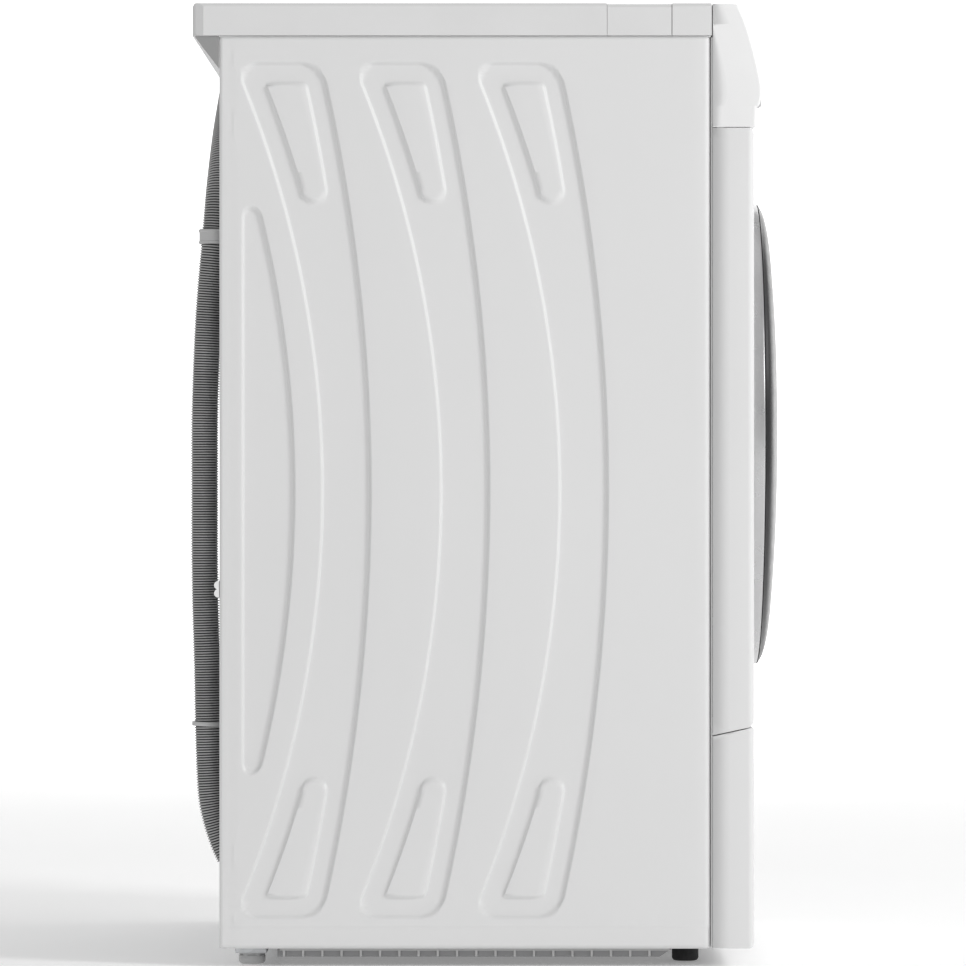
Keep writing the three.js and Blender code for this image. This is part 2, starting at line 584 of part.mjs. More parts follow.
// Idler: presses on the belt's outer run, half way between drum and motor.
function idlerCentre() {
  const outer = loop(BELT.clearance + BELT.thickness);
  const [from, to] = [outer[0], outer[outer.length - 1]];
  const length = Math.hypot(to[0] - from[0], to[1] - from[1]);
  const away = [(from[1] - to[1]) / length, (to[0] - from[0]) / length];
  const middle = [(from[0] + to[0]) / 2, (from[1] + to[1]) / 2];
  const outward = away[0] * (middle[0] - 90) + away[1] * (middle[1] - 290) > 0 ? 1 : -1;
  const reach = outward * (IDLER_RADIUS + 0.6);
  return [middle[0] + away[0] * reach, middle[1] + away[1] * reach];
}
const idler = idlerCentre();
piece("idler_pulley", "darkPlastic", turned("y", [
  [IDLER_BORE, BELT.front - 2], [IDLER_RADIUS, BELT.front - 2],
  [IDLER_RADIUS, BELT.rear + 2], [IDLER_BORE, BELT.rear + 2],
], ...idler, 24));
function tensionerArm() {
  const plate = prism("y", loopAround(motorCentre, 20, idler, 9, 12, 8), BELT.rear + 4, BELT.rear + 8);
  const pin = bar("y", ...idler, IDLER_PIN, BELT.front - 3, BELT.rear + 5, 12);
  const shaftHole = bar("y", ...motorCentre, 8, BELT.rear, BELT.rear + 12, 16);
  return cut(join(plate, pin), shaftHole);
}
piece("tensioner_arm", "galvanised", tensionerArm());
piece("motor", "galvanised", turned("y", [
  [0, MOTOR.front], [22, MOTOR.front], [MOTOR.radius, MOTOR.front + 12], [MOTOR.radius, MOTOR.rear - 12],
  [22, MOTOR.rear], [0, MOTOR.rear],
], ...motorCentre, 20));
piece("motor_pulley", "stainless", turned("y", [
  [0, BELT.front - 3], [13, BELT.front - 3], [13, BELT.front - 1], [PULLEY_RADIUS, BELT.front - 1],
  [PULLEY_RADIUS, BELT.rear + 1], [7, BELT.rear + 1], [7, MOTOR.front - GAP], [0, MOTOR.front - GAP],
], ...motorCentre, 16));
function fanImpeller() {
  const [from, to] = [MOTOR.rear + 4, MOTOR.rear + 32];
  const hub = turned("y", [[0, MOTOR.rear + GAP], [8, MOTOR.rear + GAP], [14, from], [70, from], [70, from + 2],
    [14, from + 2], [14, to], [0, to]], ...motorCentre, 20);
  const blades = Array.from({ length: BLADE_COUNT }, (_, i) => new THREE.BoxGeometry(30, to - from, 2)
    .translate(53, (from + to) / 2, 0).rotateY((i / BLADE_COUNT) * 2 * Math.PI).translate(MOTOR.x, 0, MOTOR.z));
  return join(hub, ...blades);
}
piece("fan_impeller", "darkPlastic", fanImpeller());

// Heat pump
piece("compressor", "darkPlastic", turned("z", [
  [0, 26], [48, 26], [60, 34], [60, 158], [46, 172], [0, 176],
], COMPRESSOR.x, COMPRESSOR.y, 20));
piece("heat_exchanger", "stainless", join(
  box(COIL.left, COIL.right, -144, -64, COIL.bottom, COIL.top),
  box(COIL.left, COIL.right, -52, 40, COIL.bottom, COIL.top),
  box(COIL.left, COIL.right, -66, -50, COIL.bottom, COIL.bottom + 8),
));

// Base tray: a bath whose front floor slopes up, with a front rail and rests for motor and heat pump.
function baseTray() {
  const bath = prism("x", [
    [TRAY.rear, TRAY.bottom], [TRAY.slantY, TRAY.bottom], [TRAY.front, SIDE_BOTTOM], [TRAY.front, TRAY.top],
    [TRAY.rear, TRAY.top],
  ], -TRAY.half, TRAY.half);
  const floor = TRAY.bottom + 3;
  const inside = box(-TRAY.half + TRAY.wall, TRAY.half - TRAY.wall, TRAY.slantY + 2, TRAY.rear - TRAY.wall,
    floor, TRAY.top + 5);
  const rail = box(-TRAY.half, TRAY.half, -190, TRAY.front + 1, SIDE_BOTTOM + 0.2, SIDE_BOTTOM + 8);
  const rest = (x0, x1, y0, y1, top) => box(x0, x1, y0, y1, floor - 1, top);
  const footHoles = SIDES.map(([, side]) =>
    bar("z", side * FRONT_FOOT.x, FRONT_FOOT.y, FOOT.stem + 0.6, 0, FOOT.top + 1, 12));
  return cut(
    join(cut(bath, inside), rail, rest(150, 190, 80, 156, MOTOR.z - MOTOR.radius - GAP),
      rest(-276, -92, -140, 36, COIL.bottom - GAP), rest(-215, -165, 84, 132, COIL.bottom - GAP)),
    ...footHoles,
  );
}
piece("base_tray", "darkPlastic", baseTray());

// Feet: a pad with a threaded stem that runs up through the rail.
const FEET = [["rear", REAR_FOOT, SIDE_BOTTOM - 4.4], ["front", FRONT_FOOT, SIDE_BOTTOM + 0.2]];
for (const [end, place, rail] of FEET) {
  for (const [name, side] of SIDES) {
    piece(`${end}_${name}_foot`, "rubber", turned("z", [
      [0, 0], [FOOT.radius - 2, 0], [FOOT.radius, 2.5], [FOOT.radius, rail - GAP - 0.2],
      [FOOT.stem, rail - GAP],
      [FOOT.stem, FOOT.top], [0, FOOT.top],
    ], side * place.x, place.y, 14));
  }
}

// Drain hose: a plain tube along its whole route, from the outlet to the cuff on its free end.
const hosePath = new THREE.CatmullRomCurve3(HOSE_ROUTE.map((point) => new THREE.Vector3(...point)));
hosePath.arcLengthDivisions = 800;
const hoseSection = new THREE.Shape(
  circle(0, 0, HOSE_RADIUS, HOSE_SIDES).map(([u, v]) => new THREE.Vector2(u, v)));
piece("drain_hose", "greyPlastic",
  new THREE.ExtrudeGeometry(hoseSection, { steps: HOSE_STEPS, extrudePath: hosePath }));

const [outletX, outletY, outletZ] = HOSE_ROUTE[0];
function hoseOutlet() {
  const flange = bar("y", outletX, OUTLET.z, OUTLET.flange, REAR_FACE + GAP, REAR_FACE + 4, 20);
  const elbow = bar("y", outletX, OUTLET.z, OUTLET.pipe, REAR_FACE + 3, outletY - 3, 20);
  const spigot = turned("z", [[0, -26], [OUTLET.pipe, -26], [OUTLET.pipe, -0.4], [0, -0.4]], 0, 0, 20)
    .rotateX(-Math.atan2(OUTLET_LEAN[1], OUTLET_LEAN[2])).translate(outletX, outletY, outletZ);
  return join(flange, elbow, spigot);
}
piece("hose_outlet", "darkPlastic", hoseOutlet());
const [endX, endY, endZ] = HOSE_ROUTE[HOSE_ROUTE.length - 1];
piece("hose_cuff", "greyPlastic",
  bar("z", endX, endY, CUFF.radius, endZ - GAP - CUFF.length, endZ - GAP, 20));

// Clips: a ring round the hose on a stem from the rear panel.
function uprightClip(x, y, z, half, outer) {
  const ring = turned("z", [
    [CLIP.inner, z - half], [outer, z - half], [outer, z + half], [CLIP.inner, z + half],
  ], x, y, 16);
  const stem = box(x - CLIP.stem, x + CLIP.stem, REAR_FACE + GAP, y - CLIP.inner - 0.6, z - half, z + half);
  return join(ring, stem);
}
piece("left_hose_clip", "greyPlastic", uprightClip(-HOSE_X + 0.4, 244.9, 645.3, CLIP.half, CLIP.outer));
piece("right_hose_clip", "greyPlastic", uprightClip(HOSE_X, 237, 643, CLIP.half, CLIP.outer));
piece("hose_tie", "whitePlastic", uprightClip(-HOSE_X, 251.4, 212, 2.4, 14.9));
function topClip() {
  const [, y, z] = HOSE_ROUTE[20];
  const sleeve = circle(y, z, CLIP.outer, 16);
  const bore = circle(y, z, CLIP.inner, 16);
  const foot = box(-CLIP.half, CLIP.half, REAR_FACE + GAP, REAR_FACE + 2.2, z - 20, z + 18);
  return cut(join(prism("x", sleeve, -CLIP.half, CLIP.half), foot), prism("x", bore, -20, 20));
}
piece("top_hose_clip", "greyPlastic", topClip());

// Lead clip: two round lobes on the rear edge of the left side panel.
function leadClip() {
  const lobes = [LOBE.low, LOBE.high].map((z) => bar("x", LOBE.y, z, LOBE.radius, LOBE.left, LOBE.right, 16));
  const web = box(LOBE.left, LOBE.right, SIDE_REAR + GAP, LOBE.y + 1.5, LOBE.low, LOBE.high);
  return cut(join(...lobes, web), box(-320, -260, SIDE_REAR - 20, SIDE_REAR + GAP, 300, 360));
}
piece("lead_clip", "whitePlastic", leadClip());

export default model;
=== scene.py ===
"""Looks of a front-loading clothes dryer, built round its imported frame."""
import math

import bmesh
import bpy
import numpy as np
from bpy.props import FloatProperty, FloatVectorProperty, IntProperty, PointerProperty
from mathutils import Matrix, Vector


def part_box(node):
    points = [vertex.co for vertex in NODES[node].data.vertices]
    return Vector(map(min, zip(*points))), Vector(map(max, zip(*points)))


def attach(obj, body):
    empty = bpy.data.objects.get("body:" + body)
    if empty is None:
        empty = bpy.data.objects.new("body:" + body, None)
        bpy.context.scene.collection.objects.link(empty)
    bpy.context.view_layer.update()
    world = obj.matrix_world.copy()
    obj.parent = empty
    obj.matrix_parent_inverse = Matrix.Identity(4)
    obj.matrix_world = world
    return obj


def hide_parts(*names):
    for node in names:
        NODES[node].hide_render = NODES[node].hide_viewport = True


bl_info = {
    "name": "Clothes dryer looks",
    "version": (1, 0, 0),
    "blender": (4, 5, 0),
    "location": "3D View > Sidebar > Dryer",
    "description": "Pressed panels, door, hose and finishes of a clothes dryer",
    "category": "Add Mesh",
}

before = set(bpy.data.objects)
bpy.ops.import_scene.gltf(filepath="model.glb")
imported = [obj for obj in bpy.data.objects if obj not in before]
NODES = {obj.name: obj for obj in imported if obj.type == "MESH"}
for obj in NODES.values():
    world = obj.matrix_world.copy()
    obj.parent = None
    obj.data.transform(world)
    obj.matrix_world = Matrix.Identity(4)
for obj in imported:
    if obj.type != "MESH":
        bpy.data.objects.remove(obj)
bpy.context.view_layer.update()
MM = 0.001
WELD = 2e-6
END_RING = 0.02
CABINET = "cabinet"
DOOR_MIDDLE = (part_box("door_rim")[0].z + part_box("door_rim")[1].z) / 2
SIDES = (("left", -1), ("right", 1))


# Settings a user would change

def length(name, description, default):
    """A setting that is a length in metres."""
    return FloatProperty(name=name, description=description, default=default, unit="LENGTH",
                         subtype="DISTANCE", precision=4)


def tint(name, description, default):
    """A setting that is a colour."""
    return FloatVectorProperty(name=name, description=description, default=default, size=3,
                               subtype="COLOR", min=0, max=1)


class DryerShape(bpy.types.PropertyGroup):
    """Sizes of the finer shapes, in metres."""
    press_depth: length("Press depth", "How far the side panel's bands are pressed in", 0.0029)
    press_wall: length("Press wall", "Width of the sloping wall round a pressed band", 0.0025)
    rib_pitch: length("Rib pitch", "Distance from rib to rib along the drain hose", 0.0023)
    rib_depth: length("Rib depth", "How far the hose's valleys lie under its ribs", 0.0013)
    hose_diameter: length("Hose diameter", "Outside diameter of the drain hose", 0.025)
    knob_grips: IntProperty(name="Knob grips", description="Number of grip flutes on the knob", default=40)
    dial_marks: IntProperty(name="Dial marks", description="Number of marks round the knob", default=16)


class DryerColours(bpy.types.PropertyGroup):
    """Base colours of the finishes."""
    enamel: tint("Enamel", "White enamel on the cabinet", (0.73, 0.73, 0.73))
    plastic: tint("White plastic", "Moulded white trim and control panel", (0.83, 0.83, 0.83))
    silver: tint("Silver", "Silver paint on the door rim and knob", (0.55, 0.55, 0.555))
    smoked: tint("Smoked", "Smoked dome of the door", (0.022, 0.022, 0.023))
    hose: tint("Hose", "Grey of the drain hose", (0.44, 0.44, 0.44))
    tray: tint("Tray", "Grey of the base tray", (0.27, 0.27, 0.275))
    zinc: tint("Zinc", "Galvanised steel of the back", (0.5, 0.51, 0.52))
    steel: tint("Steel", "Stainless steel of the drum", (0.58, 0.58, 0.585))
    rubber: tint("Rubber", "Feet, seal and belt", (0.028, 0.028, 0.029))


def shape():
    """The scene's size settings."""
    return bpy.context.scene.dryer_shape


def colour(name):
    """A base colour from the settings, with its alpha."""
    return (*getattr(bpy.context.scene.dryer_colours, name), 1.0)


def extent(name):
    """The least and greatest corner of a frame node's box, in mm."""
    return (np.array(corner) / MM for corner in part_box(name))


# Meshes from arrays

def add_mesh(name, points, quads, finish, body=CABINET, slot=None, replaces=(), smooth=35):
    """One object whose corners are points (n, 3) in mm and whose faces are rows of quads, turned outwards.
    Points that coincide, as at the pole of a turned skin, are welded."""
    mesh = bpy.data.meshes.new(name)
    mesh.vertices.add(len(points))
    mesh.vertices.foreach_set("co", (np.asarray(points) * MM).astype(np.float32).ravel())
    quads = np.asarray(quads, np.int32)
    mesh.loops.add(quads.size)
    mesh.loops.foreach_set("vertex_index", quads.ravel())
    mesh.polygons.add(len(quads))
    mesh.polygons.foreach_set("loop_start", np.arange(0, quads.size, quads.shape[1], dtype=np.int32))
    mesh.update(calc_edges=True)
    weld = bmesh.new()
    weld.from_mesh(mesh)
    bmesh.ops.remove_doubles(weld, verts=weld.verts, dist=WELD)
    weld.to_mesh(mesh)
    weld.free()
    mesh.validate()
    piece = bpy.data.objects.new(name, mesh)
    bpy.context.scene.collection.objects.link(piece)
    mesh.materials.append(finish)
    mesh.shade_smooth()
    mesh.set_sharp_from_angle(angle=math.radians(smooth))
    if replaces:
        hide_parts(*replaces)
    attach(piece, body)
    return piece


def signed_volume(points, quads):
    """Six times the volume inside a closed skin of quads or triangles, positive when its faces point out."""
    corner = points[quads]
    total = 0.0
    for k in range(1, quads.shape[1] - 1):
        total += np.einsum("ij,ij->", corner[:, 0], np.cross(corner[:, k], corner[:, k + 1]))
    return total


def outwards(points, quads):
    """The same faces, turned round if the skin they close is inside out."""
    points, quads = np.asarray(points, float), np.asarray(quads)
    return quads if signed_volume(points, quads) > 0 else quads[:, ::-1]


def grid_quads(rows, columns, wrap_rows=False, wrap_columns=False, first=0):
    """Faces of a grid of rows by columns points, joined end to end where it wraps."""
    i = np.arange(rows if wrap_rows else rows - 1)
    j = np.arange(columns if wrap_columns else columns - 1)
    i, j = np.meshgrid(i, j, indexing="ij")
    next_i, next_j = (i + 1) % rows, (j + 1) % columns
    here, there = i * columns, next_i * columns
    return np.stack([here + j, here + next_j, there + next_j, there + j], -1).reshape(-1, 4) + first


def join_parts(parts):
    """Several (points, quads) skins as one."""
    points, quads, first = [], [], 0
    for part_points, part_quads in parts:
        part_points = np.asarray(part_points, float).reshape(-1, 3)
        points.append(part_points)
        quads.append(outwards(part_points, part_quads) + first)
        first += len(part_points)
    return np.concatenate(points), np.concatenate(quads)


def rounded_outline(corners, radii, steps=5):
    """A closed outline whose corners are rounded: each corner gives way to a quarter-like curve between the
    points radius away on its two sides, drawn as a quadratic curve with the corner as its control point."""
    corners = np.asarray(corners, float)
    radii = np.broadcast_to(radii, len(corners))
    t = np.linspace(0, 1, steps)[:, None]
    pieces = []
    for corner, before, after, radius in zip(corners, np.roll(corners, 1, 0), np.roll(corners, -1, 0), radii):
        if radius <= 0:
            pieces.append(corner[None])
            continue
        into = (before - corner) / np.linalg.norm(before - corner)
        out = (after - corner) / np.linalg.norm(after - corner)
        start, end = corner + into * radius, corner + out * radius
        pieces.append((1 - t) ** 2 * start + 2 * t * (1 - t) * corner + t ** 2 * end)
    return np.concatenate(pieces)


def end_caps(count, rings):
    """Quads across the first and last of the rings, each of an even count of points."""
    caps = []
    for ring in rings:
        start, index = ring * count, np.arange(count // 2 - 1)
        end = start + count - 1
        cap = np.stack([start + index, start + index + 1, end - 1 - index, end - index], -1)
        caps.append(cap if ring else cap[:, ::-1])
    return caps


def extruded(outline, axis, stations, insets=None):
    """An outline carried along an axis through the given stations. insets shrinks it towards its middle at
    each station, and each end closes over a small ring that is END_RING of the outline's size."""
    outline = np.asarray(outline, float)
    middle = outline.mean(0)
    stations = np.asarray(stations, float)
    insets = np.zeros(len(stations)) if insets is None else np.asarray(insets, float)
    reach = np.linalg.norm(outline - middle, axis=1, keepdims=True)
    toward = (outline - middle) / np.maximum(reach, 1e-9)
    rings = [outline - toward * inset for inset in insets]
    rings = [middle + (rings[0] - middle) * END_RING, *rings, middle + (rings[-1] - middle) * END_RING]
    along = np.concatenate([stations[:1], stations, stations[-1:]])
    points = np.zeros((len(rings), len(outline), 3))
    order = {"x": (1, 2, 0), "y": (0, 2, 1), "z": (0, 1, 2)}[axis]
    for k, ring in enumerate(rings):
        points[k, :, order[0]], points[k, :, order[1]] = ring[:, 0], ring[:, 1]
        points[k, :, order[2]] = along[k]
    count = len(outline)
    quads = grid_quads(len(rings), count, wrap_columns=True)
    flat = points.reshape(-1, 3)
    return flat, outwards(flat, np.concatenate([quads, *end_caps(count, (0, len(rings) - 1))]))


def turned(profile, centre, steps, axis="y", ripple=None, gap=0.0):
    """A closed profile of (radius, height) rows turned once round an axis through centre: each point lies at
    its radius times the cosine and sine of the angle. Where ripple is given, it is a function of (angle, row
    number array) that is added to the radius. gap leaves out that angle either side of the start and closes
    the two cut ends."""
    profile = np.asarray(profile, float)
    angle = np.linspace(gap, 2 * np.pi - gap, steps, endpoint=gap > 0)
    radius = np.broadcast_to(profile[:, 0], (steps, len(profile))).copy()
    if ripple is not None:
        radius = radius + ripple(angle[:, None], np.arange(len(profile))[None])
    height = np.broadcast_to(profile[:, 1], radius.shape)
    across, up = radius * np.cos(angle)[:, None], radius * np.sin(angle)[:, None]
    if axis == "y":
        points = np.stack([centre[0] + across, height, centre[1] + up], -1)
    else:
        points = np.stack([centre[0] + across, centre[1] + up, height], -1)
    points = points.reshape(-1, 3)
    quads = grid_quads(steps, len(profile), wrap_rows=not gap, wrap_columns=True)
    if gap:
        quads = np.concatenate([quads, *end_caps(len(profile), (0, steps - 1))])
    return points, outwards(points, quads)


def smooth_profile(rows, steps=6):
    """A profile through the given (u, v) rows on a uniform Catmull-Rom spline: a cubic over each span, with
    steps points to a span."""
    rows = np.asarray(rows, float)
    t = np.linspace(0, 1, steps, endpoint=False)[:, None]
    padded = np.concatenate([2 * rows[:1] - rows[1:2], rows, 2 * rows[-1:] - rows[-2:-1]])
    spans = []
    for p0, p1, p2, p3 in zip(padded, padded[1:], padded[2:], padded[3:]):
        spans.append(0.5 * (2 * p1 + (p2 - p0) * t + (2 * p0 - 5 * p1 + 4 * p2 - p3) * t ** 2
                            + (3 * p1 - p0 - 3 * p2 + p3) * t ** 3))
    return np.concatenate([*spans, rows[-1:]])


def even_rows(profile):
    """A profile short of its last row if that leaves an even count, which end caps need."""
    return profile[:len(profile) // 2 * 2]


def facing_front(points, quads, probe):
    """The same faces, turned round together if the one numbered probe looks to the rear."""
    a, b, c = points[quads[probe, :3]]
    return quads if np.cross(b - a, c - a)[1] < 0 else quads[:, ::-1]


def ramp(value, width):
    """0 where value is negative, 1 above width, and a smooth S between."""
    share = np.clip(value / width, 0, 1)
    return share * share * (3 - 2 * share)


# Finishes

class Paint:
    """A material being built: a Principled shader fed from object coordinates."""

    def __init__(self, name, base, roughness, metallic=0.0):
        self.material = bpy.data.materials.new(name)
        self.material.use_nodes = True
        self.tree = self.material.node_tree
        self.shader = self.tree.nodes["Principled BSDF"]
        self.base = base
        self.shader.inputs["Base Color"].default_value = base
        self.shader.inputs["Roughness"].default_value = roughness
        self.shader.inputs["Metallic"].default_value = metallic
        self.roughness = roughness
        self.place = self.node("ShaderNodeTexCoord").outputs["Object"]
        self.height = None

    def node(self, kind, **inputs):
        """A new node whose inputs, named with underscores for spaces, have the given values."""
        made = self.tree.nodes.new(kind)
        for key, value in inputs.items():
            made.inputs[key.replace("_", " ")].default_value = value
        return made

    def link(self, source, target):
        self.tree.links.new(source, target)

    def stretched(self, scale):
        """Object coordinates multiplied by a scale for each axis."""
        mapping = self.node("ShaderNodeMapping")
        mapping.inputs["Scale"].default_value = scale
        self.link(self.place, mapping.inputs["Vector"])
        return mapping.outputs["Vector"]

    def noise(self, scale, detail=3.0, stretch=None):
        """A noise value from 0 to 1, its grain drawn out along an axis where stretch is given."""
        made = self.node("ShaderNodeTexNoise", Scale=scale, Detail=detail, Roughness=0.5)
        self.link(self.stretched(stretch) if stretch else self.place, made.inputs["Vector"])
        return made.outputs["Fac"]

    def spread(self, source, low, high):
        """A texture value carried from the range that noise mostly keeps to, to the range low to high."""
        made = self.node("ShaderNodeMapRange", From_Min=0.3, From_Max=0.7, To_Min=low, To_Max=high)
        self.link(source, made.inputs["Value"])
        return made.outputs["Result"]

    def mottle(self, source, amount):
        """Colour that wanders by amount either side of the base."""
        mix = self.tree.nodes.new("ShaderNodeMix")
        mix.data_type = "RGBA"
        base = np.array(self.base[:3])
        mix.inputs["A"].default_value = (*np.clip(base * (1 - amount), 0, 1), 1)
        mix.inputs["B"].default_value = (*np.clip(base * (1 + amount), 0, 1), 1)
        self.link(self.spread(source, 0, 1), mix.inputs["Factor"])
        self.link(mix.outputs["Result"], self.shader.inputs["Base Color"])
        return self

    def sheen_of(self, source, amount):
        """Roughness that wanders by amount either side of its value."""
        self.link(self.spread(source, self.roughness - amount, self.roughness + amount),
                  self.shader.inputs["Roughness"])
        return self

    def bump(self, source, strength, distance):
        """Relief from a texture value, laid over any relief that the material has."""
        made = self.node("ShaderNodeBump", Strength=strength, Distance=distance)
        self.link(source, made.inputs["Height"])
        if self.height is not None:
            self.link(self.height, made.inputs["Normal"])
        self.height = made.outputs["Normal"]
        self.link(self.height, self.shader.inputs["Normal"])
        return self


FINISHES = {}
# Near-black painted shade: the dark in the hose's valleys and in the drum's perforations.
SHADE_BLACK = (0.012, 0.012, 0.012, 1)
WHITE = (1, 1, 1, 1)


def finish(name):
    """A finish by its name; the first call makes them all."""
    if not FINISHES:
        mix_finishes()
    return FINISHES[name]


def enamel_paint():
    """Stoved white enamel: a faint orange-peel ripple under a smooth gloss."""
    paint = Paint("white_enamel", colour("enamel"), 0.45)
    paint.mottle(paint.noise(3.0), 0.012).sheen_of(paint.noise(26), 0.03)
    paint.bump(paint.noise(520, 2.0), 0.05, 0.0002)
    paint.shader.inputs["Coat Weight"].default_value = 0.1
    paint.shader.inputs["Coat Roughness"].default_value = 0.2
    return paint.material


def moulded_plastic(name, base, roughness=0.42, grain=1500, strength=0.12):
    """Moulded plastic with a fine spark-eroded grain."""
    paint = Paint(name, base, roughness)
    paint.mottle(paint.noise(9), 0.02).sheen_of(paint.noise(60), 0.05)
    paint.bump(paint.noise(grain, 2.0), strength, 0.00012)
    return paint.material


def silver_paint():
    """Metallic silver lacquer: fine flakes under a clear coat."""
    paint = Paint("silver_paint", colour("silver"), 0.3, 0.75)
    flakes = paint.node("ShaderNodeTexVoronoi", Scale=2600.0)
    paint.link(paint.place, flakes.inputs["Vector"])
    paint.mottle(flakes.outputs["Distance"], 0.09).sheen_of(paint.noise(40), 0.04)
    paint.bump(paint.noise(1800, 2.0), 0.05, 0.0001)
    paint.shader.inputs["Coat Weight"].default_value = 0.5
    paint.shader.inputs["Coat Roughness"].default_value = 0.08
    return paint.material


def smoked_dome():
    """Deep smoked plastic: nearly black, high gloss, with the finest hairline wear."""
    paint = Paint("smoked_glass", colour("smoked"), 0.24)
    paint.shader.inputs["Specular IOR Level"].default_value = 0.14
    paint.mottle(paint.noise(5), 0.12).sheen_of(paint.noise(90, 5.0), 0.03)
    paint.bump(paint.noise(700, 3.0), 0.012, 0.0001)
    return paint.material


def clear_glass():
    """Pressed clear glass with a slight waviness."""
    paint = Paint("clear_glass", (0.86, 0.9, 0.91, 1), 0.04)
    paint.mottle(paint.noise(14), 0.02)
    paint.bump(paint.noise(12, 1.0), 0.03, 0.0008)
    paint.shader.inputs["Transmission Weight"].default_value = 0.9
    paint.shader.inputs["IOR"].default_value = 1.5
    return paint.material


def galvanised():
    """Zinc-coated sheet: soft spangle cells of different greys."""
    paint = Paint("galvanised_steel", colour("zinc"), 0.42, 0.8)
    cells = paint.node("ShaderNodeTexVoronoi", Scale=210.0)
    paint.link(paint.place, cells.inputs["Vector"])
    paint.mottle(cells.outputs["Color"], 0.055).sheen_of(cells.outputs["Distance"], 0.05)
    paint.bump(paint.noise(600, 3.0), 0.06, 0.0001)
    return paint.material


def brushed_steel():
    """Stainless sheet with fine brush lines running round the drum."""
    paint = Paint("stainless_steel", colour("steel"), 0.27, 1.0)
    lines = paint.noise(60, 4.0, stretch=(1, 34, 1))
    paint.mottle(lines, 0.04).sheen_of(lines, 0.05)
    paint.bump(lines, 0.07, 0.0001)
    return paint.material


def rubber():
    """Matt rubber with a dusty bloom."""
    paint = Paint("black_rubber", colour("rubber"), 0.74)
    paint.mottle(paint.noise(40, 4.0), 0.35).sheen_of(paint.noise(130), 0.08)
    paint.bump(paint.noise(1200, 3.0), 0.2, 0.0002)
    return paint.material


def hose_plastic():
    """Soft grey polypropylene of the ribbed hose: dusty in patches, with painted shade, near-black, in the
    valleys between the ribs.
    """
    paint = Paint("hose_plastic", colour("hose"), 0.4)
    rib = paint.node("ShaderNodeAttribute")
    rib.attribute_name = "rib"
    paint.mottle(paint.noise(30, 4.0), 0.12).sheen_of(paint.noise(70), 0.06)
    dusty = paint.shader.inputs["Base Color"].links[0].from_socket
    # Painted shade: the valleys between the ribs take the near-black, and the ribs keep the dusty grey.
    mix = paint.tree.nodes.new("ShaderNodeMix")
    mix.data_type = "RGBA"
    mix.inputs["A"].default_value = SHADE_BLACK
    paint.link(rib.outputs["Fac"], mix.inputs["Factor"])
    paint.link(dusty, mix.inputs["B"])
    paint.link(mix.outputs["Result"], paint.shader.inputs["Base Color"])
    paint.bump(paint.noise(1400, 2.0), 0.06, 0.0001)
    return paint.material


def display_glow():
    """Pale lit bars behind the display."""
    paint = Paint("display_glow", (0.8, 0.9, 1.0, 1), 0.5)
    paint.mottle(paint.noise(60), 0.05)
    paint.shader.inputs["Emission Color"].default_value = (0.75, 0.9, 1.0, 1)
    paint.shader.inputs["Emission Strength"].default_value = 0.6
    return paint.material


def exchanger_fins():
    """Stacked aluminium fins: a fine wave across the block, darker in the hollows of its relief: painted
    shade between the fins.
    """
    paint = Paint("exchanger_fins", (0.62, 0.63, 0.64, 1), 0.35, 0.9)
    wave = paint.node("ShaderNodeTexWave", Scale=110.0)
    paint.link(paint.place, wave.inputs["Vector"])
    # Painted shade: the colour darkens where the wave's relief is lowest, between the fins.
    paint.mottle(wave.outputs["Fac"], 0.5)
    paint.bump(wave.outputs["Fac"], 0.5, 0.0008)
    return paint.material


def mix_finishes():
    """Makes every finish, under the name that pieces ask for it by."""
    FINISHES.update(
        enamel=enamel_paint(),
        plastic=moulded_plastic("white_plastic", colour("plastic"), 0.36),
        trim=moulded_plastic("trim_plastic", (0.71, 0.71, 0.71, 1), 0.36),
        clip=moulded_plastic("clip_plastic", (0.52, 0.52, 0.52, 1), 0.4),
        tray=moulded_plastic("tray_plastic", colour("tray"), 0.5, 900, 0.2),
        grey=moulded_plastic("grey_plastic", (0.3, 0.3, 0.3, 1), 0.45),
        dark=moulded_plastic("dark_plastic", (0.045, 0.045, 0.047, 1), 0.5),
        ink=moulded_plastic("marking_ink", (0.1, 0.1, 0.1, 1), 0.5),
        silver=silver_paint(), smoked=smoked_dome(), glass=clear_glass(), zinc=galvanised(),
        steel=brushed_steel(), rubber=rubber(), hose=hose_plastic(), fins=exchanger_fins(),
        glow=display_glow(),
    )


# Side panels

PRESS_MIDDLE = 419.7
BAND_HALF_HEIGHT = 376.8
BAND_REAR = (148.6, 954.0)
BAND_FRONT = (106.6, 1670.0)
BAND_PITCH = 104.7
BAND_COUNT = 3
BAND_CORNERS = (13.3, 24.7)
CORNER_COSINES = (0.395, -0.225)
ISLAND_MARGINS = (18.6, 17.1)
ISLAND_TOP = 359.2
ISLAND_END = (156.1, 265.5, 11.0)
ISLAND_CORNERS = (2.7, 6.2)
LENS_REAR = 218.8
LENS_FRONT = (173.8, 1025.0)
LENS_HALF_HEIGHT = 249.5
LENS_CORNER = 8.0
FRONT_ROLL = 6.5
REAR_ROLL = 3.2
LIP = 17.0
SIDE_SHEET = 0.0008
SEAM_DEPTH = 1.1
SEAM_WIDTH = 9
COLUMN_GAP = 0.2
EDGE_FAN = np.array([-2.0, -1.0, -0.35, 0.35, 1.0, 2.0])


def arc_y(arc, dz, shift=0.0):
    """y of an arc given as (y at mid height, radius): it bows towards the front at mid height."""
    apex, radius = arc
    return apex + shift + radius - np.sqrt(radius ** 2 - dz ** 2)


def arc_side(arc, y, dz, shift=0.0):
    """How far a point lies in front of an arc, square to it."""
    apex, radius = arc
    return np.hypot(y - (apex + shift + radius), dz) - radius


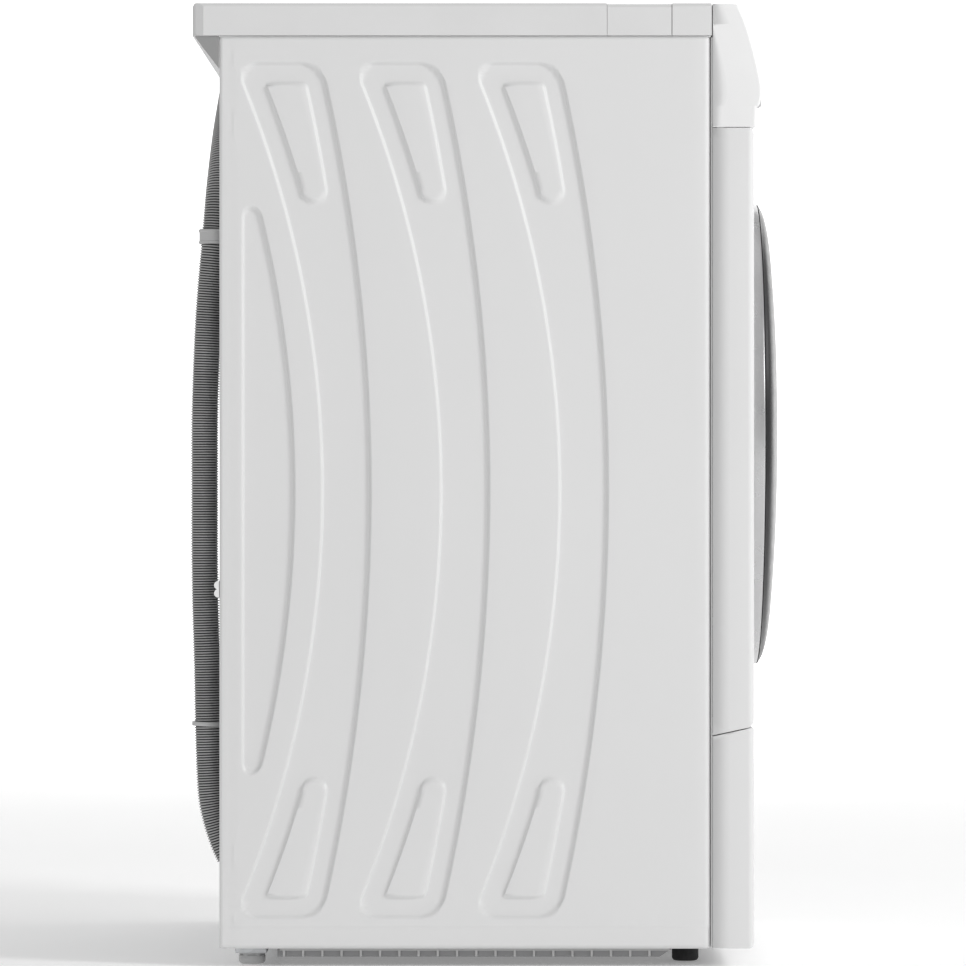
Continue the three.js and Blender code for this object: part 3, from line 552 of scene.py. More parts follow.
def rounded_least(a, b, radius, cosine=0.0):
    """The lesser of the distances from two edges, with a circular arc in their corner. cosine is that of the
    corner's inner angle."""
    u, v = a - radius, b - radius
    inside = (u + v * cosine < 0) & (v + u * cosine < 0)
    reach = np.sqrt(np.maximum(u ** 2 + v ** 2 + 2 * u * v * cosine, 0) / (1 - cosine ** 2))
    return np.where(inside, radius - reach, np.minimum(a, b))


def press_height(y, z):
    """How far the sheet is pressed in at each point: full depth inside a band or the half lens, none on the
    islands that stand in the bands' ends, and a smooth wall between."""
    depth, wall = shape().press_depth / MM, shape().press_wall / MM
    dz = z - PRESS_MIDDLE
    far = np.abs(dz)
    pressed = np.zeros_like(y)
    for k in range(BAND_COUNT):
        shift = -k * BAND_PITCH
        rear, front = arc_side(BAND_REAR, y, dz, shift), -arc_side(BAND_FRONT, y, dz, shift)
        end = BAND_HALF_HEIGHT - far
        band = np.minimum(rounded_least(rear, end, BAND_CORNERS[0], CORNER_COSINES[0]),
                          rounded_least(front, end, BAND_CORNERS[1], CORNER_COSINES[1]))
        rear, front, end = rear - ISLAND_MARGINS[0], front - ISLAND_MARGINS[1], ISLAND_TOP - far
        island = np.minimum(rounded_least(rear, end, ISLAND_CORNERS[0], CORNER_COSINES[0]),
                            rounded_least(front, end, ISLAND_CORNERS[1], CORNER_COSINES[1]))
        middle, tip, radius = ISLAND_END
        island = np.where(far < tip, radius - np.hypot(y - middle - shift, far - tip), island)
        pressed += ramp(band + wall / 2, wall) - ramp(island + wall / 2, wall)
    lens_end = LENS_HALF_HEIGHT - far
    lens = np.minimum(rounded_least(LENS_REAR - y, lens_end, LENS_CORNER),
                      rounded_least(-arc_side(LENS_FRONT, y, dz), lens_end, LENS_CORNER))
    return depth * (pressed + ramp(lens + wall / 2, wall))


def panel_columns(dz, front, rear):
    """y of every grid line at each height: bunched along the bands' walls, spread evenly between them."""
    def line(y):
        return np.broadcast_to(y, dz.shape)

    def between(a, b, count):
        return [a + (b - a) * (i + 1) / (count + 1) for i in range(count)]

    near = np.array([5.0, 9.0, 13.0])
    columns = []
    last = line(front)
    for k in reversed(range(BAND_COUNT)):
        shift = -k * BAND_PITCH
        band_front, band_rear = arc_y(BAND_FRONT, dz, shift), arc_y(BAND_REAR, dz, shift)
        fan_in = [band_front + o for o in (*EDGE_FAN, *near, *(EDGE_FAN + ISLAND_MARGINS[1]))]
        fan_out = [band_rear - o for o in (*EDGE_FAN, *near, *(EDGE_FAN + ISLAND_MARGINS[0]))][::-1]
        columns += between(last, fan_in[0], 9 if k == BAND_COUNT - 1 else 5)
        columns += fan_in + between(fan_in[-1], fan_out[0], 4) + fan_out
        last = fan_out[-1]
    lens = [arc_y(LENS_FRONT, dz) + o for o in EDGE_FAN]
    edge = [line(LENS_REAR + o) for o in EDGE_FAN]
    columns += between(last, lens[0], 3) + lens + between(lens[-1], edge[0], 4) + edge
    columns += between(edge[-1], line(rear), 3)
    y = np.stack(columns, 1)
    step = COLUMN_GAP * np.arange(y.shape[1])
    y = np.maximum.accumulate(np.maximum(y, front + COLUMN_GAP) - step, axis=1) + step
    back = COLUMN_GAP * np.arange(y.shape[1], 0, -1)
    y = np.minimum(y, rear - COLUMN_GAP) + back
    return np.minimum.accumulate(y[:, ::-1], axis=1)[:, ::-1] - back


def panel_rows(low, high):
    """Heights of the grid's rows: close together where the bands end, wide apart at mid height."""
    fine = np.concatenate([np.arange(low + 18, 66, 1.1), np.arange(66, 186, 1.9)])
    edge = np.linspace(low, low + 16, 5)
    upper = 2 * PRESS_MIDDLE - fine[::-1]
    upper = upper[upper < high - 4]
    middle = np.linspace(fine[-1], upper[0], 66)[1:-1]
    return np.concatenate([edge, fine, middle, upper, np.linspace(upper[-1] + 2, high, 5)])


def side_skin(side):
    """The pressed sheet as a grid: rows up the panel, and columns from the front lip round the rolled front
    edge, over the face and round the rear edge to the rear lip. Each point lies side times its inset in x."""
    low, high = extent(f"{'left' if side < 0 else 'right'}_side_panel")
    z = panel_rows(low[2], high[2])
    front, rear = low[1], high[1]
    turn = np.linspace(0, np.pi / 2, 6)
    front_y = np.concatenate([np.full(3, front), front + FRONT_ROLL * (1 - np.cos(turn))])
    front_in = np.concatenate([np.linspace(LIP, FRONT_ROLL + 3, 3), FRONT_ROLL * (1 - np.sin(turn))])
    rear_y = np.concatenate([rear - REAR_ROLL * (1 - np.cos(turn))[::-1], np.full(3, rear)])
    rear_in = np.concatenate([REAR_ROLL * (1 - np.sin(turn))[::-1], np.linspace(REAR_ROLL + 3, LIP, 3)])
    face_y = panel_columns(z - PRESS_MIDDLE, front + FRONT_ROLL, rear - REAR_ROLL)
    rows = len(z)
    y = np.concatenate([np.tile(front_y, (rows, 1)), face_y, np.tile(rear_y, (rows, 1))], 1)
    height = np.broadcast_to(z[:, None], y.shape)
    inset = press_height(y, height)
    inset[:, :len(front_in)], inset[:, -len(rear_in):] = front_in, rear_in
    rear_step = 0.5 * ramp(y - (rear - 13), 2.5) * ramp(rear - y, 1.5)
    foot_step = 0.7 * ramp(low[2] + 20 - height, 3)
    inset = inset + rear_step + foot_step
    half = high[0] if side > 0 else -low[0]
    points = np.stack([side * (half - inset), y, height], -1).reshape(-1, 3)
    quads = grid_quads(rows, y.shape[1])
    return points, quads if side > 0 else quads[:, ::-1]


def thicken(piece, thickness):
    """Gives a sheet its thickness, behind the face that its normals point out of."""
    solid = piece.modifiers.new("thickness", "SOLIDIFY")
    solid.thickness = thickness
    solid.offset = -1
    return piece


class DRYER_OT_side_panels(bpy.types.Operator):
    """Press the two side panels, and lay a strip in the seam in front of and above each."""
    bl_idname = "dryer.side_panels"
    bl_label = "Side panels"

    def execute(self, context):
        for name, side in SIDES:
            points, quads = side_skin(side)
            piece = add_mesh(f"{name}_side_skin", points, quads, finish("enamel"), slot="white_enamel",
                             replaces=[f"{name}_side_panel"], smooth=50)
            thicken(piece, SIDE_SHEET)
            low, high = extent(f"{name}_side_panel")
            outer = max(abs(low[0]), abs(high[0]))
            edge = sorted((side * (outer - SEAM_DEPTH), side * (outer - SEAM_DEPTH - SEAM_WIDTH)))
            seams = [
                rounded_block((edge[0], low[1] - 1.2, low[2] + 2), (edge[1], low[1] - 0.1, high[2]), 0.3),
                rounded_block((edge[0], low[1], high[2] + 0.1), (edge[1], high[1] - 1, high[2] + 1.3), 0.3),
            ]
            add_mesh(f"{name}_seam_strips", *join_parts(seams), finish("enamel"), slot="white_enamel")
        return {"FINISHED"}


# Drain hose and what holds it

HOSE_ROUTE = (
    (-0.250, 0.232, 0.094), (-0.250, 0.2384, 0.1087), (-0.250, 0.247, 0.139), (-0.250, 0.2502, 0.176),
    (-0.250, 0.2515, 0.214), (-0.250, 0.2524, 0.262), (-0.250, 0.2538, 0.310), (-0.250, 0.2546, 0.354),
    (-0.250, 0.2547, 0.400), (-0.250, 0.2547, 0.444), (-0.250, 0.2545, 0.488), (-0.250, 0.2522, 0.555),
    (-0.250, 0.2493, 0.600), (-0.250, 0.2453, 0.643), (-0.2423, 0.241, 0.6915), (-0.220, 0.2368, 0.7353),
    (-0.1853, 0.233, 0.770), (-0.1415, 0.2308, 0.7923), (-0.093, 0.2302, 0.800), (-0.0465, 0.2302, 0.800),
    (0.0, 0.2302, 0.800), (0.0465, 0.2302, 0.800), (0.093, 0.2302, 0.800), (0.1415, 0.2306, 0.7923),
    (0.1853, 0.2316, 0.770), (0.220, 0.233, 0.7353), (0.2423, 0.235, 0.6915), (0.250, 0.237, 0.643),
    (0.250, 0.2376, 0.590), (0.250, 0.2372, 0.530), (0.250, 0.2362, 0.470), (0.250, 0.235, 0.416),
    (0.250, 0.2345, 0.380), (0.250, 0.2345, 0.362),
)
RING_SIDES = 20
RINGS_PER_RIB = 4
ROUTE_STEPS = 40
CUFF_WALL = 2.6
CUFF_THROAT = 11.4
TIE_MIDDLE = np.array([-250.0, 251.4])
TIE_SLOPE = 0.035
TIE_SECTION = np.array([(13.3, -1.9), (14.3, -1.9), (14.55, -1.5), (14.55, 1.5), (14.3, 1.9), (13.3, 1.9)])
TIE_STEPS = 48
CLIP_BORE = 13.7
CLIP_OUTSIDE = 15.2
CLIP_STEPS = 56
CLIP_PLACES = (("left", -250, 244.9), ("right", 250, 237.0))
CLIP_FOOT_HALF = 10
CLIP_FOOT_TOP = 14.2
TOP_CLIP_CENTRE = (230.2, 800.0)
TOP_CLIP_FOOT = (216.4, 794, 806)


def centripetal(points, steps):
    """The centripetal Catmull-Rom curve through the points, with steps samples for each span."""
    points = np.asarray(points, float)
    padded = np.concatenate([2 * points[:1] - points[1:2], points, 2 * points[-1:] - points[-2:-1]])
    knots = np.concatenate([[0], np.cumsum(np.linalg.norm(np.diff(padded, axis=0), axis=1) ** 0.5)])
    p0, p1, p2, p3 = padded[:-3, None], padded[1:-2, None], padded[2:-1, None], padded[3:, None]
    t0, t1, t2, t3 = (knots[i:len(knots) - 3 + i, None, None] for i in range(4))
    t = t1 + (t2 - t1) * np.linspace(0, 1, steps, endpoint=False)[None, :, None]
    a1 = ((t1 - t) * p0 + (t - t0) * p1) / (t1 - t0)
    a2 = ((t2 - t) * p1 + (t - t1) * p2) / (t2 - t1)
    a3 = ((t3 - t) * p2 + (t - t2) * p3) / (t3 - t2)
    b1 = ((t2 - t) * a1 + (t - t0) * a2) / (t2 - t0)
    b2 = ((t3 - t) * a2 + (t - t1) * a3) / (t3 - t1)
    curve = ((t2 - t) * b1 + (t - t1) * b2) / (t2 - t1)
    return np.concatenate([curve.reshape(-1, 3), points[-1:]])


def along(curve, spacing):
    """Points evenly spaced along a curve, the unit direction at each, and the curve's length."""
    reach = np.concatenate([[0], np.cumsum(np.linalg.norm(np.diff(curve, axis=0), axis=1))])
    count = max(2, int(round(reach[-1] / spacing)) + 1)
    at = np.linspace(0, reach[-1], count)
    points = np.stack([np.interp(at, reach, curve[:, k]) for k in range(3)], 1)
    direction = np.gradient(points, axis=0)
    return points, direction / np.linalg.norm(direction, axis=1, keepdims=True), reach[-1]


def tube(points, direction, radius, sides):
    """A skin of rings round a line: each ring lies square to the line, its radius given for each point. The
    rings are turned so that their first corner faces the rear."""
    rear = np.array([0.0, 1.0, 0.0])
    across = rear - (direction @ rear)[:, None] * direction
    across /= np.linalg.norm(across, axis=1, keepdims=True)
    other = np.cross(direction, across)
    angle = np.linspace(0, 2 * np.pi, sides, endpoint=False)
    radius = np.asarray(radius)[:, None, None]
    rings = points[:, None] + radius * (across[:, None] * np.cos(angle)[None, :, None]
                                        + other[:, None] * np.sin(angle)[None, :, None])
    return rings


def capped_tube(points, direction, radius, sides):
    """A tube closed by flat ends."""
    rings = tube(points, direction, radius, sides)
    flat = rings.reshape(-1, 3)
    skin = grid_quads(len(rings), sides, wrap_columns=True)
    return flat, outwards(flat, np.concatenate([skin, *end_caps(sides, (0, len(rings) - 1))]))


def ribbed_hose():
    """The corrugated hose: rings whose radius steps between rib and valley, four to a rib."""
    spacing = shape().rib_pitch / RINGS_PER_RIB
    points, direction, reach = along(centripetal(HOSE_ROUTE, ROUTE_STEPS), spacing)
    outer = shape().hose_diameter / 2
    rib = np.array([outer, outer, outer - shape().rib_depth, outer - shape().rib_depth])
    radius = rib[np.arange(len(points)) % RINGS_PER_RIB]
    skin, quads = capped_tube(points, direction, radius, RING_SIDES)
    # The last array marks the rib rings; the hose's finish paints shade on the others, the valleys.
    return skin / MM, quads, np.repeat(radius == outer, RING_SIDES), points, reach


class DRYER_OT_drain_hose(bpy.types.Operator):
    """Run the corrugated drain hose from its outlet up over the back and down to its cuff."""
    bl_idname = "dryer.drain_hose"
    bl_label = "Drain hose"

    def execute(self, context):
        skin, quads, unshaded_rib, line, reach = ribbed_hose()
        hose = add_mesh("drain_hose_skin", skin, quads, finish("hose"), slot="grey_plastic",
                        replaces=["drain_hose"], smooth=80)
        # 1 on the rib rings and 0 on the valley rings, which the finish paints as shade.
        rib = hose.data.attributes.new("rib", "FLOAT", "POINT")
        rib.data.foreach_set("value", unshaded_rib.astype(np.float32))
        cuff = ribbed_cuff()
        hose_tie()
        return {"FINISHED"}


def ribbed_cuff():
    """The soft end cuff: a sleeve with two beads round its mouth and a taper into the hose."""
    low, high = extent("hose_cuff")
    middle = (low + high) / 2
    outer, bottom, top = (high[0] - low[0]) / 2, low[2], high[2]
    inner = outer - CUFF_WALL
    profile = [(inner, bottom + 0.4), (inner + 0.5, bottom), (outer - 0.6, bottom), (outer, bottom + 0.6),
               (outer, bottom + 3.4), (outer - 0.7, bottom + 4.2), (outer - 0.7, bottom + 6),
               (outer, bottom + 6.8), (outer, bottom + 9), (outer - 0.8, bottom + 10), (outer - 0.8, top - 9),
               (outer - 0.2, top - 8), (outer - 0.2, top - 1.5), (outer - 0.9, top), (CUFF_THROAT, top),
               (CUFF_THROAT, top - 1), (CUFF_THROAT, top - 12), (inner, top - 13)]
    skin, quads = turned(profile, middle[:2], 48, axis="z")
    return add_mesh("hose_cuff_skin", skin, quads, finish("grey"), slot="grey_plastic",
                    replaces=["hose_cuff"], smooth=30)


def hose_tie():
    """The thin strap round the hose: its section turned once round the hose, rising towards the rear in
    proportion to how far back each point lies."""
    low, high = extent("hose_tie")
    height = (low[2] + high[2]) / 2
    angle = np.linspace(0, 2 * np.pi, TIE_STEPS, endpoint=False)[:, None]
    radius = np.broadcast_to(TIE_SECTION[:, 0], (TIE_STEPS, len(TIE_SECTION)))
    tilt = TIE_SLOPE * radius * np.sin(angle)
    strap = np.stack([TIE_MIDDLE[0] + radius * np.cos(angle), TIE_MIDDLE[1] + radius * np.sin(angle),
                      height + TIE_SECTION[:, 1] + tilt], -1).reshape(-1, 3)
    quads = grid_quads(TIE_STEPS, len(TIE_SECTION), wrap_rows=True, wrap_columns=True)
    return add_mesh("hose_tie_skin", strap, outwards(strap, quads), finish("clip"), slot="white_plastic",
                    replaces=["hose_tie"], smooth=40)


def clip_band(middle, bottom, top, across=0, rise=0.0):
    """A clip's band: a ring with a bead along each edge. across is the axis it wraps (0 for x, 2 for z), and
    rise is how much taller the band grows towards the rear."""
    half, outer = (top - bottom) / 2, CLIP_OUTSIDE
    section = np.array([(CLIP_BORE, -half), (outer - 0.9, -half), (outer, -half + 0.9), (outer, -half + 2.0),
                        (outer - 0.7, -half + 2.8), (outer - 0.7, half - 2.8), (outer, half - 2.0),
                        (outer, half - 0.9), (outer - 0.9, half), (CLIP_BORE, half)])
    angle = np.linspace(0, 2 * np.pi, CLIP_STEPS, endpoint=False)[:, None]
    radius = np.broadcast_to(section[:, 0], (CLIP_STEPS, len(section)))
    reach = section[:, 1] * (1 + rise * (1 + np.sin(angle)) / 2)
    u, v = radius * np.cos(angle), radius * np.sin(angle)
    if across == 2:
        band = np.stack([middle[0] + u, middle[1] + v, middle[2] + reach], -1)
    else:
        band = np.stack([middle[0] + reach, middle[1] + u, middle[2] + v], -1)
    flat = band.reshape(-1, 3)
    return flat, outwards(flat, grid_quads(CLIP_STEPS, len(section), wrap_rows=True, wrap_columns=True))


class DRYER_OT_hose_holders(bpy.types.Operator):
    """The three clips that hold the hose to the back."""
    bl_idname = "dryer.hose_holders"
    bl_label = "Hose holders"

    def execute(self, context):
        for name, x, y in CLIP_PLACES:
            low, high = extent(f"{name}_hose_clip")
            band = clip_band((x, y, (low[2] + high[2]) / 2), low[2] + 0.3, high[2] - 0.3, across=2, rise=0.04)
            foot = rounded_block((x - CLIP_FOOT_HALF, low[1], low[2] + 0.5),
                                 (x + CLIP_FOOT_HALF, y - CLIP_FOOT_TOP, high[2] - 0.5), 0.8)
            points, quads = join_parts([band, foot])
            add_mesh(f"{name}_hose_clip_skin", points, quads, finish("clip"), slot="grey_plastic",
                     replaces=[f"{name}_hose_clip"], smooth=40)
        low, high = extent("top_hose_clip")
        band = clip_band(((low[0] + high[0]) / 2, *TOP_CLIP_CENTRE), low[0] + 0.3, high[0] - 0.3)
        rear, bottom, top = TOP_CLIP_FOOT
        foot = rounded_block((low[0] + 0.5, low[1], bottom), (high[0] - 0.5, rear, top), 0.8)
        points, quads = join_parts([band, foot])
        add_mesh("top_hose_clip_skin", points, quads, finish("clip"), slot="grey_plastic",
                 replaces=["top_hose_clip"], smooth=40)
        return {"FINISHED"}


def rounded_block(low, high, radius):
    """A box with its upright edges rounded and its top and bottom edges eased."""
    (x0, y0, z0), (x1, y1, z1) = low, high
    outline = rounded_outline([(x0, y0), (x1, y0), (x1, y1), (x0, y1)], [radius] * 4)
    ease = min(radius, (z1 - z0) / 4)
    return extruded(outline, "z", [z0, z0 + ease, z1 - ease, z1], [ease, 0, 0, ease])


# Stage

CAMERA_PLACE = (-5.998, 0.0071, 0.4262)
CAMERA_LENS = 240.8
FLOOR_Z = -0.0005
FLOOR_REACH = 9
FLOOR_GLOW = 0.2
WALL_X = 4.0
WALL_Y = (-2.6, 2.6)
WALL_Z = (-0.4, 3.2)
WALL_GLOW = 0.75
PAPER = (0.9, 0.9, 0.9, 1)
WORLD_LIGHT = 0.45
LAMPS = (
    ("key", (-2.0, -3.1, 2.1), (-0.3, 0, 0.5), 0.9, 70),
    ("fill", (-4.2, 1.6, 0.9), (-0.3, 0.1, 0.4), 2.4, 19),
    ("front", (1.2, -3.4, 1.8), (0, 0, 0.5), 1.6, 18),
    ("top", (0.3, 0.4, 3.4), (0, 0, 0.8), 2.0, 4),
)


def lamp(name, place, aim, size, power):
    """A square soft light at a place, turned towards its aim."""
    light = bpy.data.lights.new(name, "AREA")
    light.shape, light.size, light.energy = "SQUARE", size, power
    holder = bpy.data.objects.new(name, light)
    bpy.context.scene.collection.objects.link(holder)
    holder.location = place
    holder.rotation_euler = (Vector(aim) - Vector(place)).to_track_quat("-Z", "Y").to_euler()
    return holder


def lit_paper(name, corners, paint_name, grain, glow):
    """One flat sheet of white paper that glows a little, so that it stays pale in shadow."""
    mesh = bpy.data.meshes.new(name)
    mesh.from_pydata(corners, [], [(0, 1, 2, 3)])
    sheet = bpy.data.objects.new(name, mesh)
    bpy.context.scene.collection.objects.link(sheet)
    paint = Paint(paint_name, PAPER, 0.9)
    paint.mottle(paint.noise(grain), 0.01)
    paint.shader.inputs["Emission Color"].default_value = WHITE
    paint.shader.inputs["Emission Strength"].default_value = glow
    mesh.materials.append(paint.material)
    return sheet


class DRYER_OT_stage(bpy.types.Operator):
    """Pale floor, soft studio light and the camera at the side of the dryer."""
    bl_idname = "dryer.stage"
    bl_label = "Stage"

    def execute(self, context):
        scene = context.scene
        scene.view_settings.view_transform = "Standard"
        view = bpy.data.cameras.new("view")
        view.lens, view.sensor_width, view.clip_end = CAMERA_LENS, 36, 60
        camera = bpy.data.objects.new("view", view)
        scene.collection.objects.link(camera)
        camera.location = CAMERA_PLACE
        camera.rotation_euler = (math.pi / 2, 0, -math.pi / 2)
        scene.camera = camera
        far = FLOOR_REACH
        floor = lit_paper("floor", [(-far, -far, FLOOR_Z), (far, -far, FLOOR_Z), (far, far, FLOOR_Z),
                                    (-far, far, FLOOR_Z)], "floor_paper", 3, FLOOR_GLOW)
        lamps = [lamp(*settings) for settings in LAMPS]
        world = bpy.data.worlds.new("studio")
        world.use_nodes = True
        back = world.node_tree.nodes["Background"]
        back.inputs["Color"].default_value = WHITE
        back.inputs["Strength"].default_value = WORLD_LIGHT
        scene.world = world
        (near, far), (bottom, top) = WALL_Y, WALL_Z
        backdrop = lit_paper("backdrop", [(WALL_X, near, bottom), (WALL_X, far, bottom), (WALL_X, far, top),
                                          (WALL_X, near, top)], "backdrop_light", 2, WALL_GLOW)
        return {"FINISHED"}


# Door

DOOR_CENTRE = (0.0, DOOR_MIDDLE / MM)
RIM_FRONT = ((192.4, -245.9), (203, -246.1), (211.4, -246.1), (212.7, -245.2), (212.95, -243.5),
             (212.95, -240), (212.8, -236), (212.0, -234.6), (210.5, -234.3))
RIM_BACK = ((200, -234.3), (193, -234.3), (192.2, -235), (192.2, -240.5), (192.2, -245.4))
DOME_PROUD = ((213, 14.3), (204.6, 18.9), (188.7, 22.7), (161.8, 25.5), (130, 27.9), (98.6, 29.5),
              (50, 31.0), (0, 31.5))
DOME_RADIUS = 213
DOME_SEAT = 14.2
DOME_WALL = 2.6
FRAME_RING = ((150.6, -239.6), (151.2, -239.9), (188, -239.9), (191.2, -239.4), (191.3, -236),
              (190.6, -234.6), (186, -234.3), (184.5, -235.2), (181, -235.2), (179.5, -234.3), (160, -234.3),
              (156, -235.4), (152, -235.6), (150.6, -236.2))
KNUCKLE = ((2.6, -17), (4.0, -17), (4.4, -16.6), (4.4, 16.6), (4.0, 17), (2.6, 17))
HINGE_ARM = ((188, -239.4), -235.6)
HOOK_FRONT, HOOK_STEP, HOOK_REAR = -236, -221, -218.2
HOOK_HALF = 8
BOWL_OUTSIDE = ((150, -240.2), (148.4, -234), (147, -228), (140, -195), (122, -176), (85, -165), (0, -161))
BOWL_WALL = 3.6
HINGE_NOTCH = 0.1
HINGE = (222.0, -241.0)
LATCH_X = -183.0
PANEL_FRONT = -232.25


def with_thickness(outside, wall, along=1):
    """A closed profile: the outside rows, then the same rows moved by wall towards the back, in reverse."""
    outside = np.asarray(outside, float)
    step = np.gradient(outside, axis=0)
    normal = np.stack([-step[:, 1], step[:, 0]], 1)
    normal /= np.linalg.norm(normal, axis=1, keepdims=True)
    inside = outside + along * wall * normal
    inside[:, 0] = np.clip(inside[:, 0], 0, outside[:, 0].max())
    inside[outside[:, 0] == 0, 0] = 0
    return np.concatenate([outside, inside[::-1]])


class DRYER_OT_door(bpy.types.Operator):
    """Turn the door: silver rim, smoked dome, white inner frame and glass bowl."""
    bl_idname = "dryer.door"
    bl_label = "Door"

    def execute(self, context):
        rim = even_rows(np.concatenate([smooth_profile(RIM_FRONT, 4), RIM_BACK]))
        points, quads = turned(rim, DOOR_CENTRE, 220, gap=HINGE_NOTCH)
        add_mesh("door_rim_skin", points, quads, finish("silver"), "door", "silver_paint", ["door_rim"], 35)
        dome = smooth_profile([(radius, PANEL_FRONT - proud) for radius, proud in DOME_PROUD], 6)
        dome = dome[dome[:, 0] >= 0]
        dome[:, 0] = np.minimum(dome[:, 0], DOME_RADIUS)
        points, quads = turned(with_thickness(dome, DOME_WALL, -1), DOOR_CENTRE, 192)
        points[:, 1] = np.minimum(points[:, 1], PANEL_FRONT - DOME_SEAT)
        add_mesh("door_dome_skin", points, quads, finish("smoked"), "door", "smoked_glass", ["door_dome"], 40)
        z = DOOR_CENTRE[1]
        (arm_x, arm_front), arm_rear = HINGE_ARM
        arm_low, arm_high = z + KNUCKLE[0][1], z + KNUCKLE[-1][1]
        low, high = z - HOOK_HALF, z + HOOK_HALF
        points, quads = join_parts([
            turned(FRAME_RING, DOOR_CENTRE, 160),
            rounded_block((arm_x, arm_front, arm_low), (HINGE[0], arm_rear, arm_high), 0.8),
            turned([(radius, z + height) for radius, height in KNUCKLE], HINGE, 32, axis="z"),
            rounded_block((LATCH_X - 2, HOOK_FRONT, low), (LATCH_X + 5, HOOK_REAR, high), 0.8),
            rounded_block((LATCH_X - 5, HOOK_STEP, low), (LATCH_X + 2, HOOK_REAR, high), 0.8),
        ])
        add_mesh("door_inner_frame_skin", points, quads, finish("plastic"), "door", "white_plastic",
                 ["door_inner_frame"], 30)
        bowl = smooth_profile(BOWL_OUTSIDE, 6)
        bowl[:, 0] = np.maximum(bowl[:, 0], 0)
        points, quads = turned(with_thickness(bowl, BOWL_WALL, 1), DOOR_CENTRE, 144)
        add_mesh("door_bowl_skin", points, quads, finish("glass"), "door", "clear_glass", ["door_bowl"], 50)
        return {"FINISHED"}


# Front

SEAM_REAR, SEAM_FRONT = (-195.4, 203.0), (-232.25, 211.0)
SEAM_GAP = 0.5
SHELL_REAR = -195.6
FRONT_CORNER = 6.0
OPENING_RADIUS = 171.4
OPENING_LIP = ((0, 7), (0, 3), (0.7, 1.1), (2.3, 0.2), (4, 0))
FRONT_SHEET = 0.0012
SIDE_POINTS = 48
KICK_TOP_ROW = 196


def seam_height(y):
    """Height of the slanting seam between front panel and kick plate."""
    (rear_y, rear_z), (front_y, front_z) = SEAM_REAR, SEAM_FRONT
    return rear_z + (front_z - rear_z) * (y - rear_y) / (front_y - rear_y)


def rolled_edge(at, inward, face, radius=FRONT_CORNER, rear=SHELL_REAR, steps=6):
    """(position, y) rows from the rear end of a return flange at a position, over a rolled edge of that
    radius, to the face. inward is the sign of the way towards the middle."""
    turn = np.linspace(0, np.pi / 2, steps)
    back = np.linspace(rear, face + radius, 3)[:-1]
    return np.concatenate([np.stack([np.full(2, at), back], 1),
                           np.stack([at + inward * radius * (1 - np.cos(turn)),
                                     face + radius * (1 - np.sin(turn))], 1)])


def pan(across, up):
    """A shallow pan open to the rear. across is (x, y) rows and up is (z, y) rows; where both give a depth,
    the one further back holds."""
    x, z = across[None, :, 0], up[:, None, 0]
    y = np.maximum(across[None, :, 1], up[:, None, 1])
    x, z = np.broadcast_to(x, y.shape), np.broadcast_to(z, y.shape)
    return np.stack([x, y, z], -1)


def shell_quads(points):
    """Quads of an open grid, turned so that the face of the grid's middle looks to the front."""
    rows, columns = points.shape[:2]
    quads = grid_quads(rows, columns)
    flat = points.reshape(-1, 3)
    return flat, facing_front(flat, quads, len(quads) // 2)


def front_sheet():
    """Front panel: rings from the door opening's lip out to the rolled edges and back to the flanges. Between
    the round lip and the outline each ring is a blend of the two."""
    low, high = extent("front_panel")
    left, right, top = low[0], high[0], high[2]
    u = np.linspace(0, 1, SIDE_POINTS, endpoint=False)
    corner = np.array([(left, 0), (right, 0), (right, 1), (left, 1)], float)
    walk = np.concatenate([corner[k] + (corner[(k + 1) % 4] - corner[k]) * u[:, None] for k in range(4)])

    def edge(inset, y):
        bottom = seam_height(y) + SEAM_GAP
        x = np.clip(walk[:, 0], left + inset, right - inset)
        z = bottom + (top - bottom) * walk[:, 1]
        return np.stack([x, np.full(len(x), y), np.clip(z, bottom + inset, top - inset)], 1)

    outer = edge(FRONT_CORNER, low[1])
    angle = np.arctan2(outer[:, 2] - DOOR_CENTRE[1], outer[:, 0])

    def ring(radius, y):
        return np.stack([radius * np.cos(angle), np.full(len(angle), y),
                         DOOR_CENTRE[1] + radius * np.sin(angle)], 1)

    face = low[1]
    rings = [ring(OPENING_RADIUS + out, face + back) for out, back in OPENING_LIP]
    rings += [rings[len(OPENING_LIP) - 1] * (1 - t) + outer * t for t in np.linspace(0.12, 1, 9)]
    turn = np.linspace(0, np.pi / 2, 6)[1:]
    rings += [edge(FRONT_CORNER * (1 - np.sin(t)), face + FRONT_CORNER * (1 - np.cos(t))) for t in turn]
    rings += [edge(0, face + FRONT_CORNER + (SHELL_REAR - face - FRONT_CORNER) * t) for t in (0.5, 1)]
    points = np.stack(rings)
    rows, columns = points.shape[:2]
    quads = grid_quads(rows, columns, wrap_columns=True)
    flat = points.reshape(-1, 3)
    on_face = (len(OPENING_LIP) + 2) * columns
    return flat, facing_front(flat, quads, on_face + 5)


